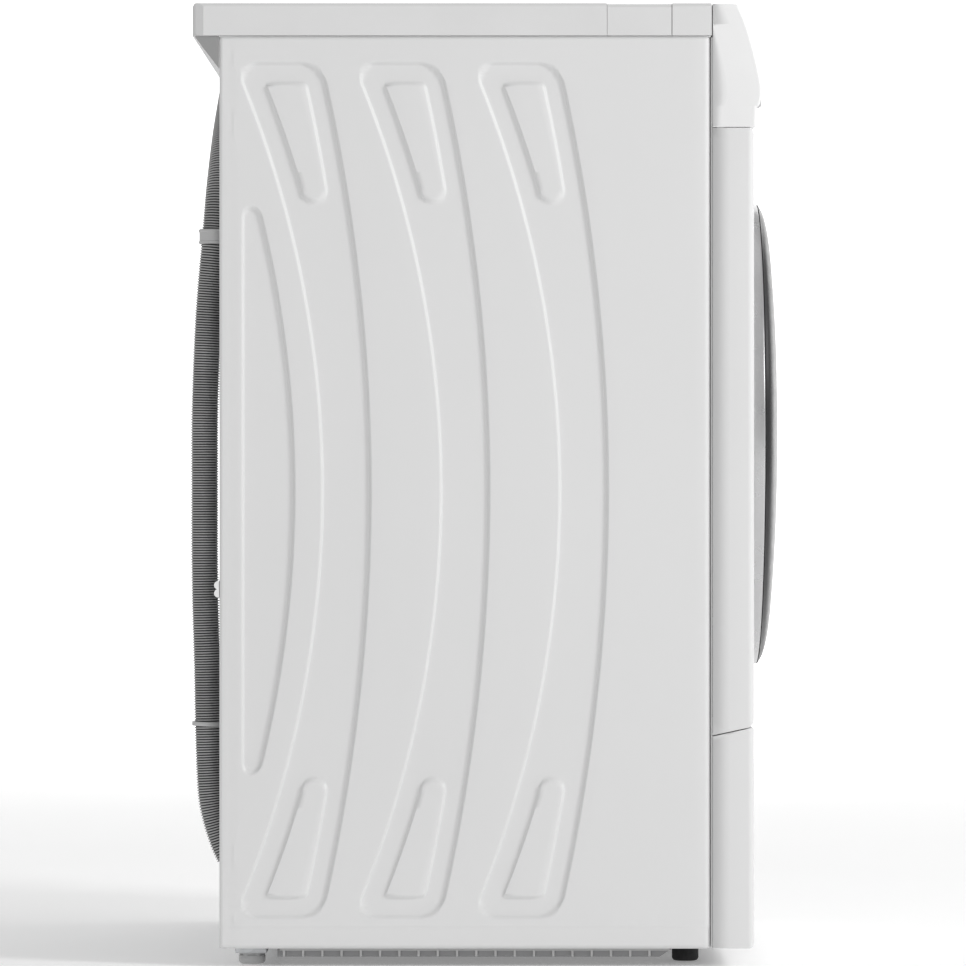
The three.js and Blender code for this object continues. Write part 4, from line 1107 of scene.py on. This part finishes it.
class DRYER_OT_front(bpy.types.Operator):
    """Press the front panel and the kick plate below its slanting seam."""
    bl_idname = "dryer.front"
    bl_label = "Front"

    def execute(self, context):
        points, quads = front_sheet()
        piece = add_mesh("front_panel_skin", points, quads, finish("enamel"), slot="white_enamel",
                         replaces=["front_panel"], smooth=50)
        thicken(piece, FRONT_SHEET)
        low, high = extent("kick_plate")
        face = low[1]
        x, z = np.linspace(low[0] + 20, high[0] - 20, 22), np.linspace(low[2] + 16, KICK_TOP_ROW, 14)
        top = seam_height(face) - SEAM_GAP
        across = np.concatenate([rolled_edge(low[0], 1, face), np.stack([x, np.full_like(x, face)], 1),
                                 rolled_edge(high[0], -1, face)[::-1]])
        up = np.concatenate([rolled_edge(low[2], 1, face, 4.0), np.stack([z, np.full_like(z, face)], 1),
                             rolled_edge(top, -1, face, 2.0)[::-1]])
        points = pan(across, up)
        points[..., 2] = np.minimum(points[..., 2], seam_height(points[..., 1]) - SEAM_GAP)
        flat, quads = shell_quads(points)
        piece = add_mesh("kick_plate_skin", flat, quads, finish("enamel"), "kick_flap", "white_enamel",
                         ["kick_plate"], 50)
        thicken(piece, FRONT_SHEET)
        return {"FINISHED"}


# Control panel

PANEL_TOP = ((-195.6, 849.1), (-206, 849.05), (-214.5, 849.0), (-216.8, 848.8), (-218.3, 847.6))
PANEL_CURVE = ((-219.4, 845.5), (-225.4, 831.5), (-230.9, 813.4), (-235.3, 795.7), (-238.3, 780.7),
               (-239, 774))
PANEL_FOOT = ((-238.9, 769), (-238.2, 764.1), (-237.2, 760.6), (-236.2, 759.2), (-234.6, 758.8),
              (-234.2, 758.0), (-234.1, 750), (-233.95, 742.2), (-233.4, 740.9), (-232.2, 740.35),
              (-215, 740.3), (-195.6, 740.3))
PANEL_WALL = 0.0022
PANEL_CORNER = 2.5
PANEL_RETURN = (44, 30, 14)
PLAIN_COLUMNS = (110, 126, 192, 205, 268, 285)
DRAWER_HOLE = (-282.4, -105.6, 764.1, 837.9)
KNOB_PLACE = (0.0, 797.0)
DISPLAY_PLACE = (118.0, 802.0)
OPTION_X = (82.0, 154.0)
OPTION_Z = 775.0
OPTION_HALF = (17.4, 3.9)
START_PLACE = (236.0, 797.0)
START_PATCH = 18.0
START_HOLE = 13.5
PATCH_ROWS = 13


def panel_section():
    """(y, z) rows down the control panel's front, with rows at the edges of every hole."""
    curve = smooth_profile(PANEL_CURVE, 7)
    rows = np.concatenate([PANEL_TOP, curve, PANEL_FOOT])
    front = rows[4:-6]
    z = START_PLACE[1] + np.linspace(-START_PATCH, START_PATCH, PATCH_ROWS)
    z = np.concatenate([z, [DRAWER_HOLE[3], OPTION_Z - OPTION_HALF[1], OPTION_Z + OPTION_HALF[1]]])
    extra = np.stack([np.interp(z, front[::-1, 1], front[::-1, 0]), z], 1)
    front = np.concatenate([front, extra])
    front = front[np.argsort(-front[:, 1])]
    keep = np.concatenate([[True], np.diff(front[:, 1]) < -0.05])
    return np.concatenate([rows[:4], front[keep], rows[-6:]])


def face_y(z):
    """y of the panel's face at each height."""
    section = panel_section()[::-1]
    return np.interp(z, section[:, 1], section[:, 0])


def lean_at(z):
    """The angle by which the panel's face leans back at a height: that of the straight line between the two
    rows of its curve above and below."""
    rows = np.asarray(PANEL_CURVE)
    below = np.searchsorted(-rows[:, 1], -z)
    (y0, z0), (y1, z1) = rows[below - 1], rows[below]
    return math.atan((y1 - y0) / (z1 - z0))


def on_panel(points, place):
    """Points given as (across, up the face, out of the face) carried to a place on the leaning panel."""
    lean = lean_at(place[1])
    base = np.array([place[0], face_y(place[1]), place[1]])
    across, up = math.cos(lean), math.sin(lean)
    axes = np.array([(1, 0, 0), (0, up, across), (0, -across, up)])
    return base + np.asarray(points) @ axes


def panel_skin():
    """The panel: its section carried across with rounded ends, and quads left out where the drawer and the
    buttons come through. A ring of quads leads from the grid to the round hole."""
    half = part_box("control_panel")[1].x / MM
    section = panel_section()
    turn = np.linspace(0, np.pi / 2, 8)
    end = np.concatenate([[(half, back) for back in PANEL_RETURN],
                          np.stack([half - PANEL_CORNER * (1 - np.cos(turn)),
                                    PANEL_CORNER * (1 - np.sin(turn))], 1)])
    patch_x = START_PLACE[0] + np.linspace(-START_PATCH, START_PATCH, PATCH_ROWS)
    marks = [DRAWER_HOLE[0], DRAWER_HOLE[1], *(x + s * OPTION_HALF[0] for x in OPTION_X for s in (-1, 1)),
             *patch_x, *np.linspace(-270, -120, 8), *np.linspace(-90, 50, 10), *PLAIN_COLUMNS]
    across = np.concatenate([end * [-1, 1], [(x, 0) for x in sorted(marks)], end[::-1]])
    y = np.minimum(section[:, None, 0] + across[None, :, 1], SHELL_REAR)
    x, z = np.broadcast_to(across[None, :, 0], y.shape), np.broadcast_to(section[:, None, 1], y.shape)
    flat, quads = shell_quads(np.stack([x, y, z], -1))
    middle = flat[quads].mean(1)

    def inside(left, right, bottom, top):
        x, z = middle[:, 0], middle[:, 2]
        return (x > left) & (x < right) & (z > bottom) & (z < top)

    hole = inside(*DRAWER_HOLE)
    wide, tall = OPTION_HALF
    for x in OPTION_X:
        hole |= inside(x - wide, x + wide, OPTION_Z - tall, OPTION_Z + tall)
    sx, sz = START_PLACE
    patch = inside(sx - START_PATCH, sx + START_PATCH, sz - START_PATCH, sz + START_PATCH)
    zs = section[(section[:, 1] < sz + START_PATCH + 0.1) & (section[:, 1] > sz - START_PATCH - 0.1), 1]
    xs = sx + np.linspace(-START_PATCH, START_PATCH, PATCH_ROWS)
    rim = np.concatenate([[(x, zs[0]) for x in xs[:-1]], [(xs[-1], z) for z in zs[:-1]],
                          [(x, zs[-1]) for x in xs[:0:-1]], [(xs[0], z) for z in zs[:0:-1]]])
    angle = np.arctan2(rim[:, 1] - sz, rim[:, 0] - sx)
    circle = np.stack([sx + START_HOLE * np.cos(angle), sz + START_HOLE * np.sin(angle)], 1)
    rings = np.stack([circle + (rim - circle) * t for t in (0, 0.1, 0.4, 1)])
    surround = np.stack([rings[..., 0], face_y(rings[..., 1]), rings[..., 1]], -1)
    ring_quads = grid_quads(4, len(rim), wrap_columns=True)
    ring = surround.reshape(-1, 3)
    return join_parts([(flat, quads[~(hole | patch)]), (ring, facing_front(ring, ring_quads, 0))])


class DRYER_OT_control_panel(bpy.types.Operator):
    """The curved control panel with openings for the drawer and the buttons."""
    bl_idname = "dryer.control_panel"
    bl_label = "Control panel"

    def execute(self, context):
        points, quads = panel_skin()
        piece = add_mesh("control_panel_skin", points, quads, finish("plastic"), slot="white_plastic",
                         replaces=["control_panel"], smooth=20)
        thicken(piece, PANEL_WALL)
        return {"FINISHED"}


KNOB_PROFILE = ((4, 1.7), (26, 1.7), (26.8, 2.3), (26.6, 3.6), (25.6, 4.6), (25.2, 6), (25, 8.2), (24.6, 9.8),
                (23.4, 11), (21.6, 11.4), (19.4, 11.2), (17.5, 10.5), (10, 10.1), (0, 10), (0, 5), (0, 1.7))
GRIP_ROWS = (3, 9)
GRIP_DEPTH = 0.42
POINTER = ((-0.9, 18.2), (0.9, 18.2), (0.9, 23), (-0.9, 23))
MARK_HALF = 0.4
MARK_START = 31
MARK_ENDS = (35.5, 34, 34, 34)
MARK_PROUD = 0.12
DISPLAY_HALF = (58.5, 14.6)
DISPLAY_BARS = (-42, -28, -14, 14, 28, 42)
BAR_HALF = (3.4, 0.9)
OPTION_KEY_HALF = (16.9, 3.4)
START_PROFILE = ((0, -6), (12.9, -6), (12.9, 1.2), (12.6, 1.9), (11.8, 2.35), (10, 2.4), (9.2, 2.1), (4, 1.7),
                 (0, 1.65), (0, -3))


def face_block(place, half, low, high, radius):
    """A rounded plate standing on the panel's face: half its width and height, and its bottom and top."""
    u, v = half
    outline = rounded_outline([(-u, -v), (u, -v), (u, v), (-u, v)], [radius] * 4)
    ease = min(0.7, (high - low) / 3)
    points, quads = extruded(outline, "z", [low, high - ease, high - ease / 3, high], [0, 0, ease / 3, ease])
    return on_panel(points, place), quads


class DRYER_OT_controls(bpy.types.Operator):
    """Programme knob with its ring of marks, display, option buttons and start button."""
    bl_idname = "dryer.controls"
    bl_label = "Controls"

    def execute(self, context):
        grips = shape().knob_grips

        def flutes(angle, row):
            first, last = GRIP_ROWS
            return np.where((row > first) & (row < last), GRIP_DEPTH * np.cos(grips * angle), 0.0)

        points, quads = turned(KNOB_PROFILE, (0, 0), grips * 8, axis="z", ripple=flutes)
        add_mesh("program_knob_skin", on_panel(points, KNOB_PLACE), quads, finish("silver"), "knob",
                 "silver_paint", ["program_knob"], 40)
        points, quads = extruded(rounded_outline(POINTER, [0.4] * 4), "z", [9, 11.7])
        add_mesh("knob_pointer", on_panel(points, KNOB_PLACE), quads, finish("ink"), "knob", smooth=30)
        marks = []
        for k in range(shape().dial_marks):
            angle = 2 * math.pi * k / shape().dial_marks
            reach = MARK_ENDS[k % len(MARK_ENDS)]
            outline = [(-MARK_HALF, MARK_START), (MARK_HALF, MARK_START), (MARK_HALF, reach),
                       (-MARK_HALF, reach)]
            tick, tick_quads = extruded(rounded_outline(outline, [0.15] * 4, 2), "z", [-0.3, MARK_PROUD])
            cos, sin = math.cos(angle), math.sin(angle)
            flat = on_panel(tick @ np.array([(cos, sin, 0), (-sin, cos, 0), (0, 0, 1)]), KNOB_PLACE)
            flat[:, 1] = face_y(flat[:, 2]) + np.where(tick[:, 2] > 0, -MARK_PROUD, 0.3)
            marks.append((flat, tick_quads))
        add_mesh("dial_marks", *join_parts(marks), finish("ink"))
        display = face_block(DISPLAY_PLACE, DISPLAY_HALF, -1.5, 1.0, 2.5)
        add_mesh("display_lens_skin", *display, finish("smoked"), slot="smoked_glass",
                 replaces=["display_lens"])
        x, z = DISPLAY_PLACE
        glow = [face_block((x + u, z), BAR_HALF, 0.8, 1.06, 0.4) for u in DISPLAY_BARS]
        add_mesh("display_bars", *join_parts(glow), finish("glow"))
        for k, x in enumerate(OPTION_X):
            body = f"option_button_{'ab'[k]}"
            button = face_block((x, OPTION_Z), OPTION_KEY_HALF, -6, 1.6, 1.6)
            add_mesh(f"option_button_{k + 1}_skin", *button, finish("silver"), body, "silver_paint",
                     [f"option_button_{k + 1}"])
        points, quads = turned(START_PROFILE, (0, 0), 72, axis="z")
        add_mesh("start_button_skin", on_panel(points, START_PLACE), quads, finish("silver"), "start_key",
                 "silver_paint", ["start_button"], 40)
        return {"FINISHED"}


# Base

RIB_SPACING = 17.0
RIB_HALF = 1.1
RIB_TOP = 33
SIDE_RIBS_FROM = -140
FRONT_RIBS = (-166.5, -160, 16.2)
FRONT_RIB_REACH = 280
LEDGE = (-158, 13.2, 15.0)
FOOT_PLACES = (("rear", 262, 212, 11.0), ("front", 225, -173.5, 15.6))
FOOT_STEM_TOP = 30
HEX_ROWS = (6, 10)
HEX_DEPTH = 0.9


def foot_profile(rail):
    """(radius, height) rows of a foot: its round pad, the nut under the rail it screws into, and its stem."""
    stem, top = 4, FOOT_STEM_TOP
    return [(0, 0), (9.4, 0), (10.6, 0.5), (11.6, 1.8), (11.9, 3), (11.9, rail - 4.2), (11.5, rail - 3.4),
            (10.6, rail - 3), (10.6, rail - 1), (10.2, rail - 0.7), (stem, rail - 0.7), (stem, rail + 1),
            (stem, top - 1), (3.4, 29.8), (0, top), (0, 20)]


class DRYER_OT_base(bpy.types.Operator):
    """Upright ribs along the base tray, and the turned feet."""
    bl_idname = "dryer.base"
    bl_label = "Base"

    def execute(self, context):
        low, high = extent("base_tray")
        ribs = []
        for y in np.arange(SIDE_RIBS_FROM, high[1] - 3, RIB_SPACING):
            for side in (-1, 1):
                x0, x1 = sorted((side * (high[0] - 1), side * (high[0] + 2.4)))
                ribs.append(rounded_block((x0, y - RIB_HALF, low[2] + 0.4), (x1, y + RIB_HALF, RIB_TOP), 0.6))
        front, rear, bottom = FRONT_RIBS
        for x in np.arange(-FRONT_RIB_REACH, FRONT_RIB_REACH + 1, 2 * RIB_SPACING):
            ribs.append(rounded_block((x - RIB_HALF, front, bottom), (x + RIB_HALF, rear, RIB_TOP), 0.6))
        front, bottom, top = LEDGE
        for side in (-1, 1):
            x0, x1 = sorted((side * (high[0] - 1), side * (high[0] + 3)))
            ribs.append(rounded_block((x0, front, bottom), (x1, high[1] - 2, top), 0.6))
        # Painted highlight: the ribs take the paler clip grey, lighter than the tray's grey of the same
        # moulding, as where they catch the light.
        add_mesh("tray_ribs", *join_parts(ribs), finish("clip"), slot="dark_plastic")

        def hexed(angle, row):
            first, last = HEX_ROWS
            return np.where((row > first) & (row < last), -HEX_DEPTH * np.cos(6 * angle), 0.0)

        for name, x, y, rail in FOOT_PLACES:
            foot = foot_profile(rail)
            for side_name, side in SIDES:
                points, quads = turned(foot, (side * x, y), 48, axis="z", ripple=hexed)
                add_mesh(f"{name}_{side_name}_foot_skin", points, quads,
                         finish("clip" if name == "rear" else "rubber"), f"{name}_{side_name}_foot_screw",
                         "black_rubber", [f"{name}_{side_name}_foot"], 40)
        return {"FINISHED"}


# Back

REAR_HALF = 294.0
REAR_SHEET = 214.9
REAR_BOTTOM, REAR_TOP = 19.0, 819.0
REAR_RIBS = (190.0, 250.0, 310.0, 630.0, 690.0)
RIB_HALF_LENGTH = 175.0
VENT_ROWS = (52.0, 68.0, 84.0, 100.0, 116.0, 132.0)
VENT_SPAN = (-170.0, 120.0)
VENT_HALF = 4.4
RIB_HALF_HEIGHT = 9
HUB_RING = (92, 128, 2.2)
FOLD_BACK = (11, 5)
REAR_WALL = 0.001
RAIL_TOP = 18.3
CUP_PROFILE = ((77.8, 215.5), (77.6, 216.7), (64, 218), (50.5, 220.6), (46.5, 224), (44.6, 229.5),
               (42.4, 232.4), (38, 232.9), (20, 232.9), (17, 232.2), (12, 232.0), (0, 232.0))
CUP_SPAN = (215.4, 233)
CUP_WALL = 1.1


def bar_press(across, up, middle, half_length, half_height, depth, wall=3.0):
    """Depth of a round-ended bar pressed into a sheet, about a middle (across, up)."""
    reach = np.maximum(np.abs(across - middle[0]) - (half_length - half_height), 0)
    return depth * ramp(half_height + wall / 2 - np.hypot(reach, up - middle[1]), wall)


def rear_sheet():
    """The back as a grid: flat, less the depth of each bar pressed in as a rib or louvre and of the ring
    round the drum's hub, with its side edges folded forward."""
    x = np.linspace(-REAR_HALF, REAR_HALF, 150)
    z = np.unique(np.concatenate([np.arange(REAR_BOTTOM, 150, 2.2), np.linspace(150, REAR_TOP, 190)]))
    fold = np.array([-REAR_HALF] * 2)
    x = np.concatenate([fold, x, -fold])
    x_grid, z_grid = np.meshgrid(x, z)
    y = np.full_like(x_grid, REAR_SHEET)
    for middle in REAR_RIBS:
        y -= bar_press(x_grid, z_grid, (0, middle), RIB_HALF_LENGTH, RIB_HALF_HEIGHT, 3.2, 5)
    centre, half = (VENT_SPAN[0] + VENT_SPAN[1]) / 2, (VENT_SPAN[1] - VENT_SPAN[0]) / 2
    for middle in VENT_ROWS:
        y -= bar_press(x_grid, z_grid, (centre, middle), half, VENT_HALF, 3.4, 2.4)
    hub = np.hypot(x_grid, z_grid - DOOR_CENTRE[1])
    inner, outer, depth = HUB_RING
    y -= depth * (ramp(hub - inner, 6) - ramp(hub - outer, 6))
    y[:, [0, -1]] = REAR_SHEET - FOLD_BACK[0]
    y[:, [1, -2]] = REAR_SHEET - FOLD_BACK[1]
    flat, quads = shell_quads(np.stack([x_grid, y, z_grid], -1))
    return flat, quads[:, ::-1]


class DRYER_OT_rear(bpy.types.Operator):
    """Pressed back sheet with its foot rail, and the cup over the drum's bearing."""
    bl_idname = "dryer.rear"
    bl_label = "Rear"

    def execute(self, context):
        sheet = add_mesh("rear_panel_skin", *rear_sheet(), finish("zinc"), slot="galvanised_steel",
                         replaces=["rear_panel"], smooth=45)
        thicken(sheet, REAR_WALL)
        low, high = extent("rear_panel")
        rail = rounded_block((-REAR_HALF, low[1] + 0.1, low[2] + 0.1),
                             (REAR_HALF, high[1] - 0.1, RAIL_TOP), 1.5)
        add_mesh("rear_rail", *rail, finish("zinc"), slot="galvanised_steel")
        cup = smooth_profile(CUP_PROFILE, 4)
        points, quads = turned(with_thickness(cup, CUP_WALL, 1), DOOR_CENTRE, 120)
        points[:, 1] = np.clip(points[:, 1], *CUP_SPAN)
        add_mesh("rear_cover_skin", points, quads, finish("zinc"), slot="galvanised_steel",
                 replaces=["rear_cover"], smooth=40)
        return {"FINISHED"}


# Drum

LIFTER_HUMP = ((-29, 258), (-22, 248), (-16, 232), (-11.5, 218), (-8, 212), (-3, 210), (3, 210), (8, 212),
               (11.5, 218), (16, 232), (22, 248), (29, 258))
LIFTER_ANGLES = (90, 210, 330)
LIFTER_STATIONS = (-147.5, -146, -138, 158, 166, 167.5)
LIFTER_INSETS = (6, 3, 0, 0, 3, 6)
DRUM_OUTSIDE = ((184.4, -163), (184, -166), (185.5, -167.8), (189, -168), (240, -168), (252, -166.4),
                (259, -161.5), (261.4, -154), (261.4, -100), (262, -97), (262, -87), (261.4, -84),
                (261.4, 30), (262, 33), (262, 58), (261.4, 61), (261.4, 130), (262, 133), (262, 143),
                (261.4, 146), (261.4, 177))
DRUM_WALL = 1.2
SEAL_FOLDS = ((170, -191), (170, -200), (168.2, -203), (170, -206), (170, -216), (168.2, -219), (170, -222),
              (170, -228), (168.8, -230.2), (166.5, -230.3), (164.2, -228))
SEAL_WALL = 1.6
HOLES_ROUND = 90
HOLE_ROWS = 0.018
HOLE_SIZE = 0.17


def perforated_steel():
    """Stainless drum sheet with staggered rows of round perforations, painted as near-black dots: painted
    shade where each hole would show the dark behind the sheet.
    """
    paint = Paint("perforated_steel", colour("steel"), 0.25, 1.0)
    axes = paint.node("ShaderNodeSeparateXYZ")
    paint.link(paint.place, axes.inputs["Vector"])

    def maths(operation, first, second):
        made = paint.tree.nodes.new("ShaderNodeMath")
        made.operation = operation
        for socket, value in zip(made.inputs, (first, second)):
            if isinstance(value, bpy.types.NodeSocket):
                paint.link(value, socket)
            else:
                socket.default_value = value
        return made.outputs["Value"]

    up = maths("SUBTRACT", axes.outputs["Z"], DOOR_MIDDLE)
    angle = maths("ARCTAN2", up, axes.outputs["X"])
    round_way = maths("MULTIPLY", angle, HOLES_ROUND / (2 * math.pi))
    row = maths("MULTIPLY", axes.outputs["Y"], 1 / HOLE_ROWS)
    shifted = maths("ADD", round_way, maths("MULTIPLY", maths("FLOOR", row, 0), 0.5))
    u = maths("SUBTRACT", maths("FRACT", shifted, 0), 0.5)
    v = maths("SUBTRACT", maths("FRACT", row, 0), 0.5)
    reach = maths("SQRT", maths("ADD", maths("MULTIPLY", u, u), maths("MULTIPLY", v, v)), 0)
    hole = maths("LESS_THAN", reach, HOLE_SIZE)
    # Painted shade: inside each hole the near-black stands for the dark seen through the perforation.
    mix = paint.tree.nodes.new("ShaderNodeMix")
    mix.data_type = "RGBA"
    mix.inputs["A"].default_value = colour("steel")
    mix.inputs["B"].default_value = SHADE_BLACK
    paint.link(hole, mix.inputs["Factor"])
    paint.link(mix.outputs["Result"], paint.shader.inputs["Base Color"])
    lines = paint.noise(60, 4.0, stretch=(1, 34, 1))
    paint.sheen_of(lines, 0.06)
    paint.bump(hole, 0.5, -0.0006)
    return paint.material


class DRYER_OT_drum(bpy.types.Operator):
    """Drum with its rolled mouth, stiffening beads and lifters, and the folded door seal."""
    bl_idname = "dryer.drum"
    bl_label = "Drum"

    def execute(self, context):
        points, quads = turned(with_thickness(DRUM_OUTSIDE, DRUM_WALL, 1), DOOR_CENTRE, 240)
        add_mesh("drum_shell_skin", points, quads, perforated_steel(), "drum", "stainless_steel",
                 ["drum_shell"], 30)
        for k, angle in enumerate(LIFTER_ANGLES):
            turn = math.radians(angle)
            hump = even_rows(smooth_profile(LIFTER_HUMP, 4))
            skin, quads = extruded(hump, "z", LIFTER_STATIONS, LIFTER_INSETS)
            radial, tangent = skin[:, 1], skin[:, 0]
            x = radial * math.cos(turn) - tangent * math.sin(turn)
            z = radial * math.sin(turn) + tangent * math.cos(turn) + DOOR_CENTRE[1]
            add_mesh(f"drum_lifter_{k + 1}_skin", np.stack([x, skin[:, 2], z], 1), quads[:, ::-1],
                     finish("grey"), "drum", "grey_plastic", [f"drum_lifter_{k + 1}"], 40)
        seal = smooth_profile(SEAL_FOLDS, 5)
        points, quads = turned(with_thickness(seal, SEAL_WALL, -1), DOOR_CENTRE, 160)
        add_mesh("door_seal_skin", points, quads, finish("rubber"), slot="black_rubber",
                 replaces=["door_seal"], smooth=50)
        return {"FINISHED"}


# Pieces shown as the frame made them

SURFACES = {
    "plastic": ("water_container", "lead_clip"),
    "trim": ("worktop_frame", "left_trim_insert", "right_trim_insert", "left_front_corner",
             "right_front_corner"),
    "enamel": ("worktop_board",),
    "silver": ("door_hinge_leaf",),
    "zinc": ("front_bulkhead", "tensioner_arm", "motor"),
    "steel": ("rear_bearing", "drum_back", "motor_pulley", "door_hinge_pin"),
    "grey": ("left_rear_bracket", "right_rear_bracket"),
    "dark": ("mains_gland", "lint_filter", "fan_impeller", "idler_pulley", "compressor", "hose_outlet"),
    "tray": ("base_tray",),
    "rubber": ("drive_belt", "left_drum_roller", "right_drum_roller"),
    "fins": ("heat_exchanger",),
}


class DRYER_OT_inner_parts(bpy.types.Operator):
    """Give every piece that keeps its plain shape its finish."""
    bl_idname = "dryer.inner_parts"
    bl_label = "Inner parts"

    def execute(self, context):
        for key, names in SURFACES.items():
            for name in names:
                node = NODES[name]
                node.data.materials.clear()
                node.data.materials.append(finish(key))
        return {"FINISHED"}


class DRYER_PT_panel(bpy.types.Panel):
    """Buttons for each group of pieces, and the settings they read."""
    bl_idname = "DRYER_PT_panel"
    bl_label = "Clothes dryer"
    bl_space_type = "VIEW_3D"
    bl_region_type = "UI"
    bl_category = "Dryer"

    def draw(self, context):
        column = self.layout.column()
        for operator in OPERATORS:
            column.operator(operator.bl_idname)
        for settings in (context.scene.dryer_shape, context.scene.dryer_colours):
            for key in settings.bl_rna.properties.keys():
                if key not in ("name", "rna_type"):
                    column.prop(settings, key)


OPERATORS = (
    DRYER_OT_stage, DRYER_OT_drain_hose, DRYER_OT_hose_holders, DRYER_OT_side_panels, DRYER_OT_front,
    DRYER_OT_door, DRYER_OT_control_panel, DRYER_OT_controls, DRYER_OT_base,
    DRYER_OT_rear, DRYER_OT_drum, DRYER_OT_inner_parts,
)
CLASSES = (DryerShape, DryerColours, *OPERATORS, DRYER_PT_panel)


def register():
    for made in CLASSES:
        bpy.utils.register_class(made)
    bpy.types.Scene.dryer_shape = PointerProperty(type=DryerShape)
    bpy.types.Scene.dryer_colours = PointerProperty(type=DryerColours)


def unregister():
    del bpy.types.Scene.dryer_colours
    del bpy.types.Scene.dryer_shape
    for made in reversed(CLASSES):
        bpy.utils.unregister_class(made)


def main():
    register()
    mix_finishes()
    for operator in OPERATORS:
        group, name = operator.bl_idname.split(".")
        getattr(getattr(bpy.ops, group), name)()


if __name__ == "__main__":
    main()
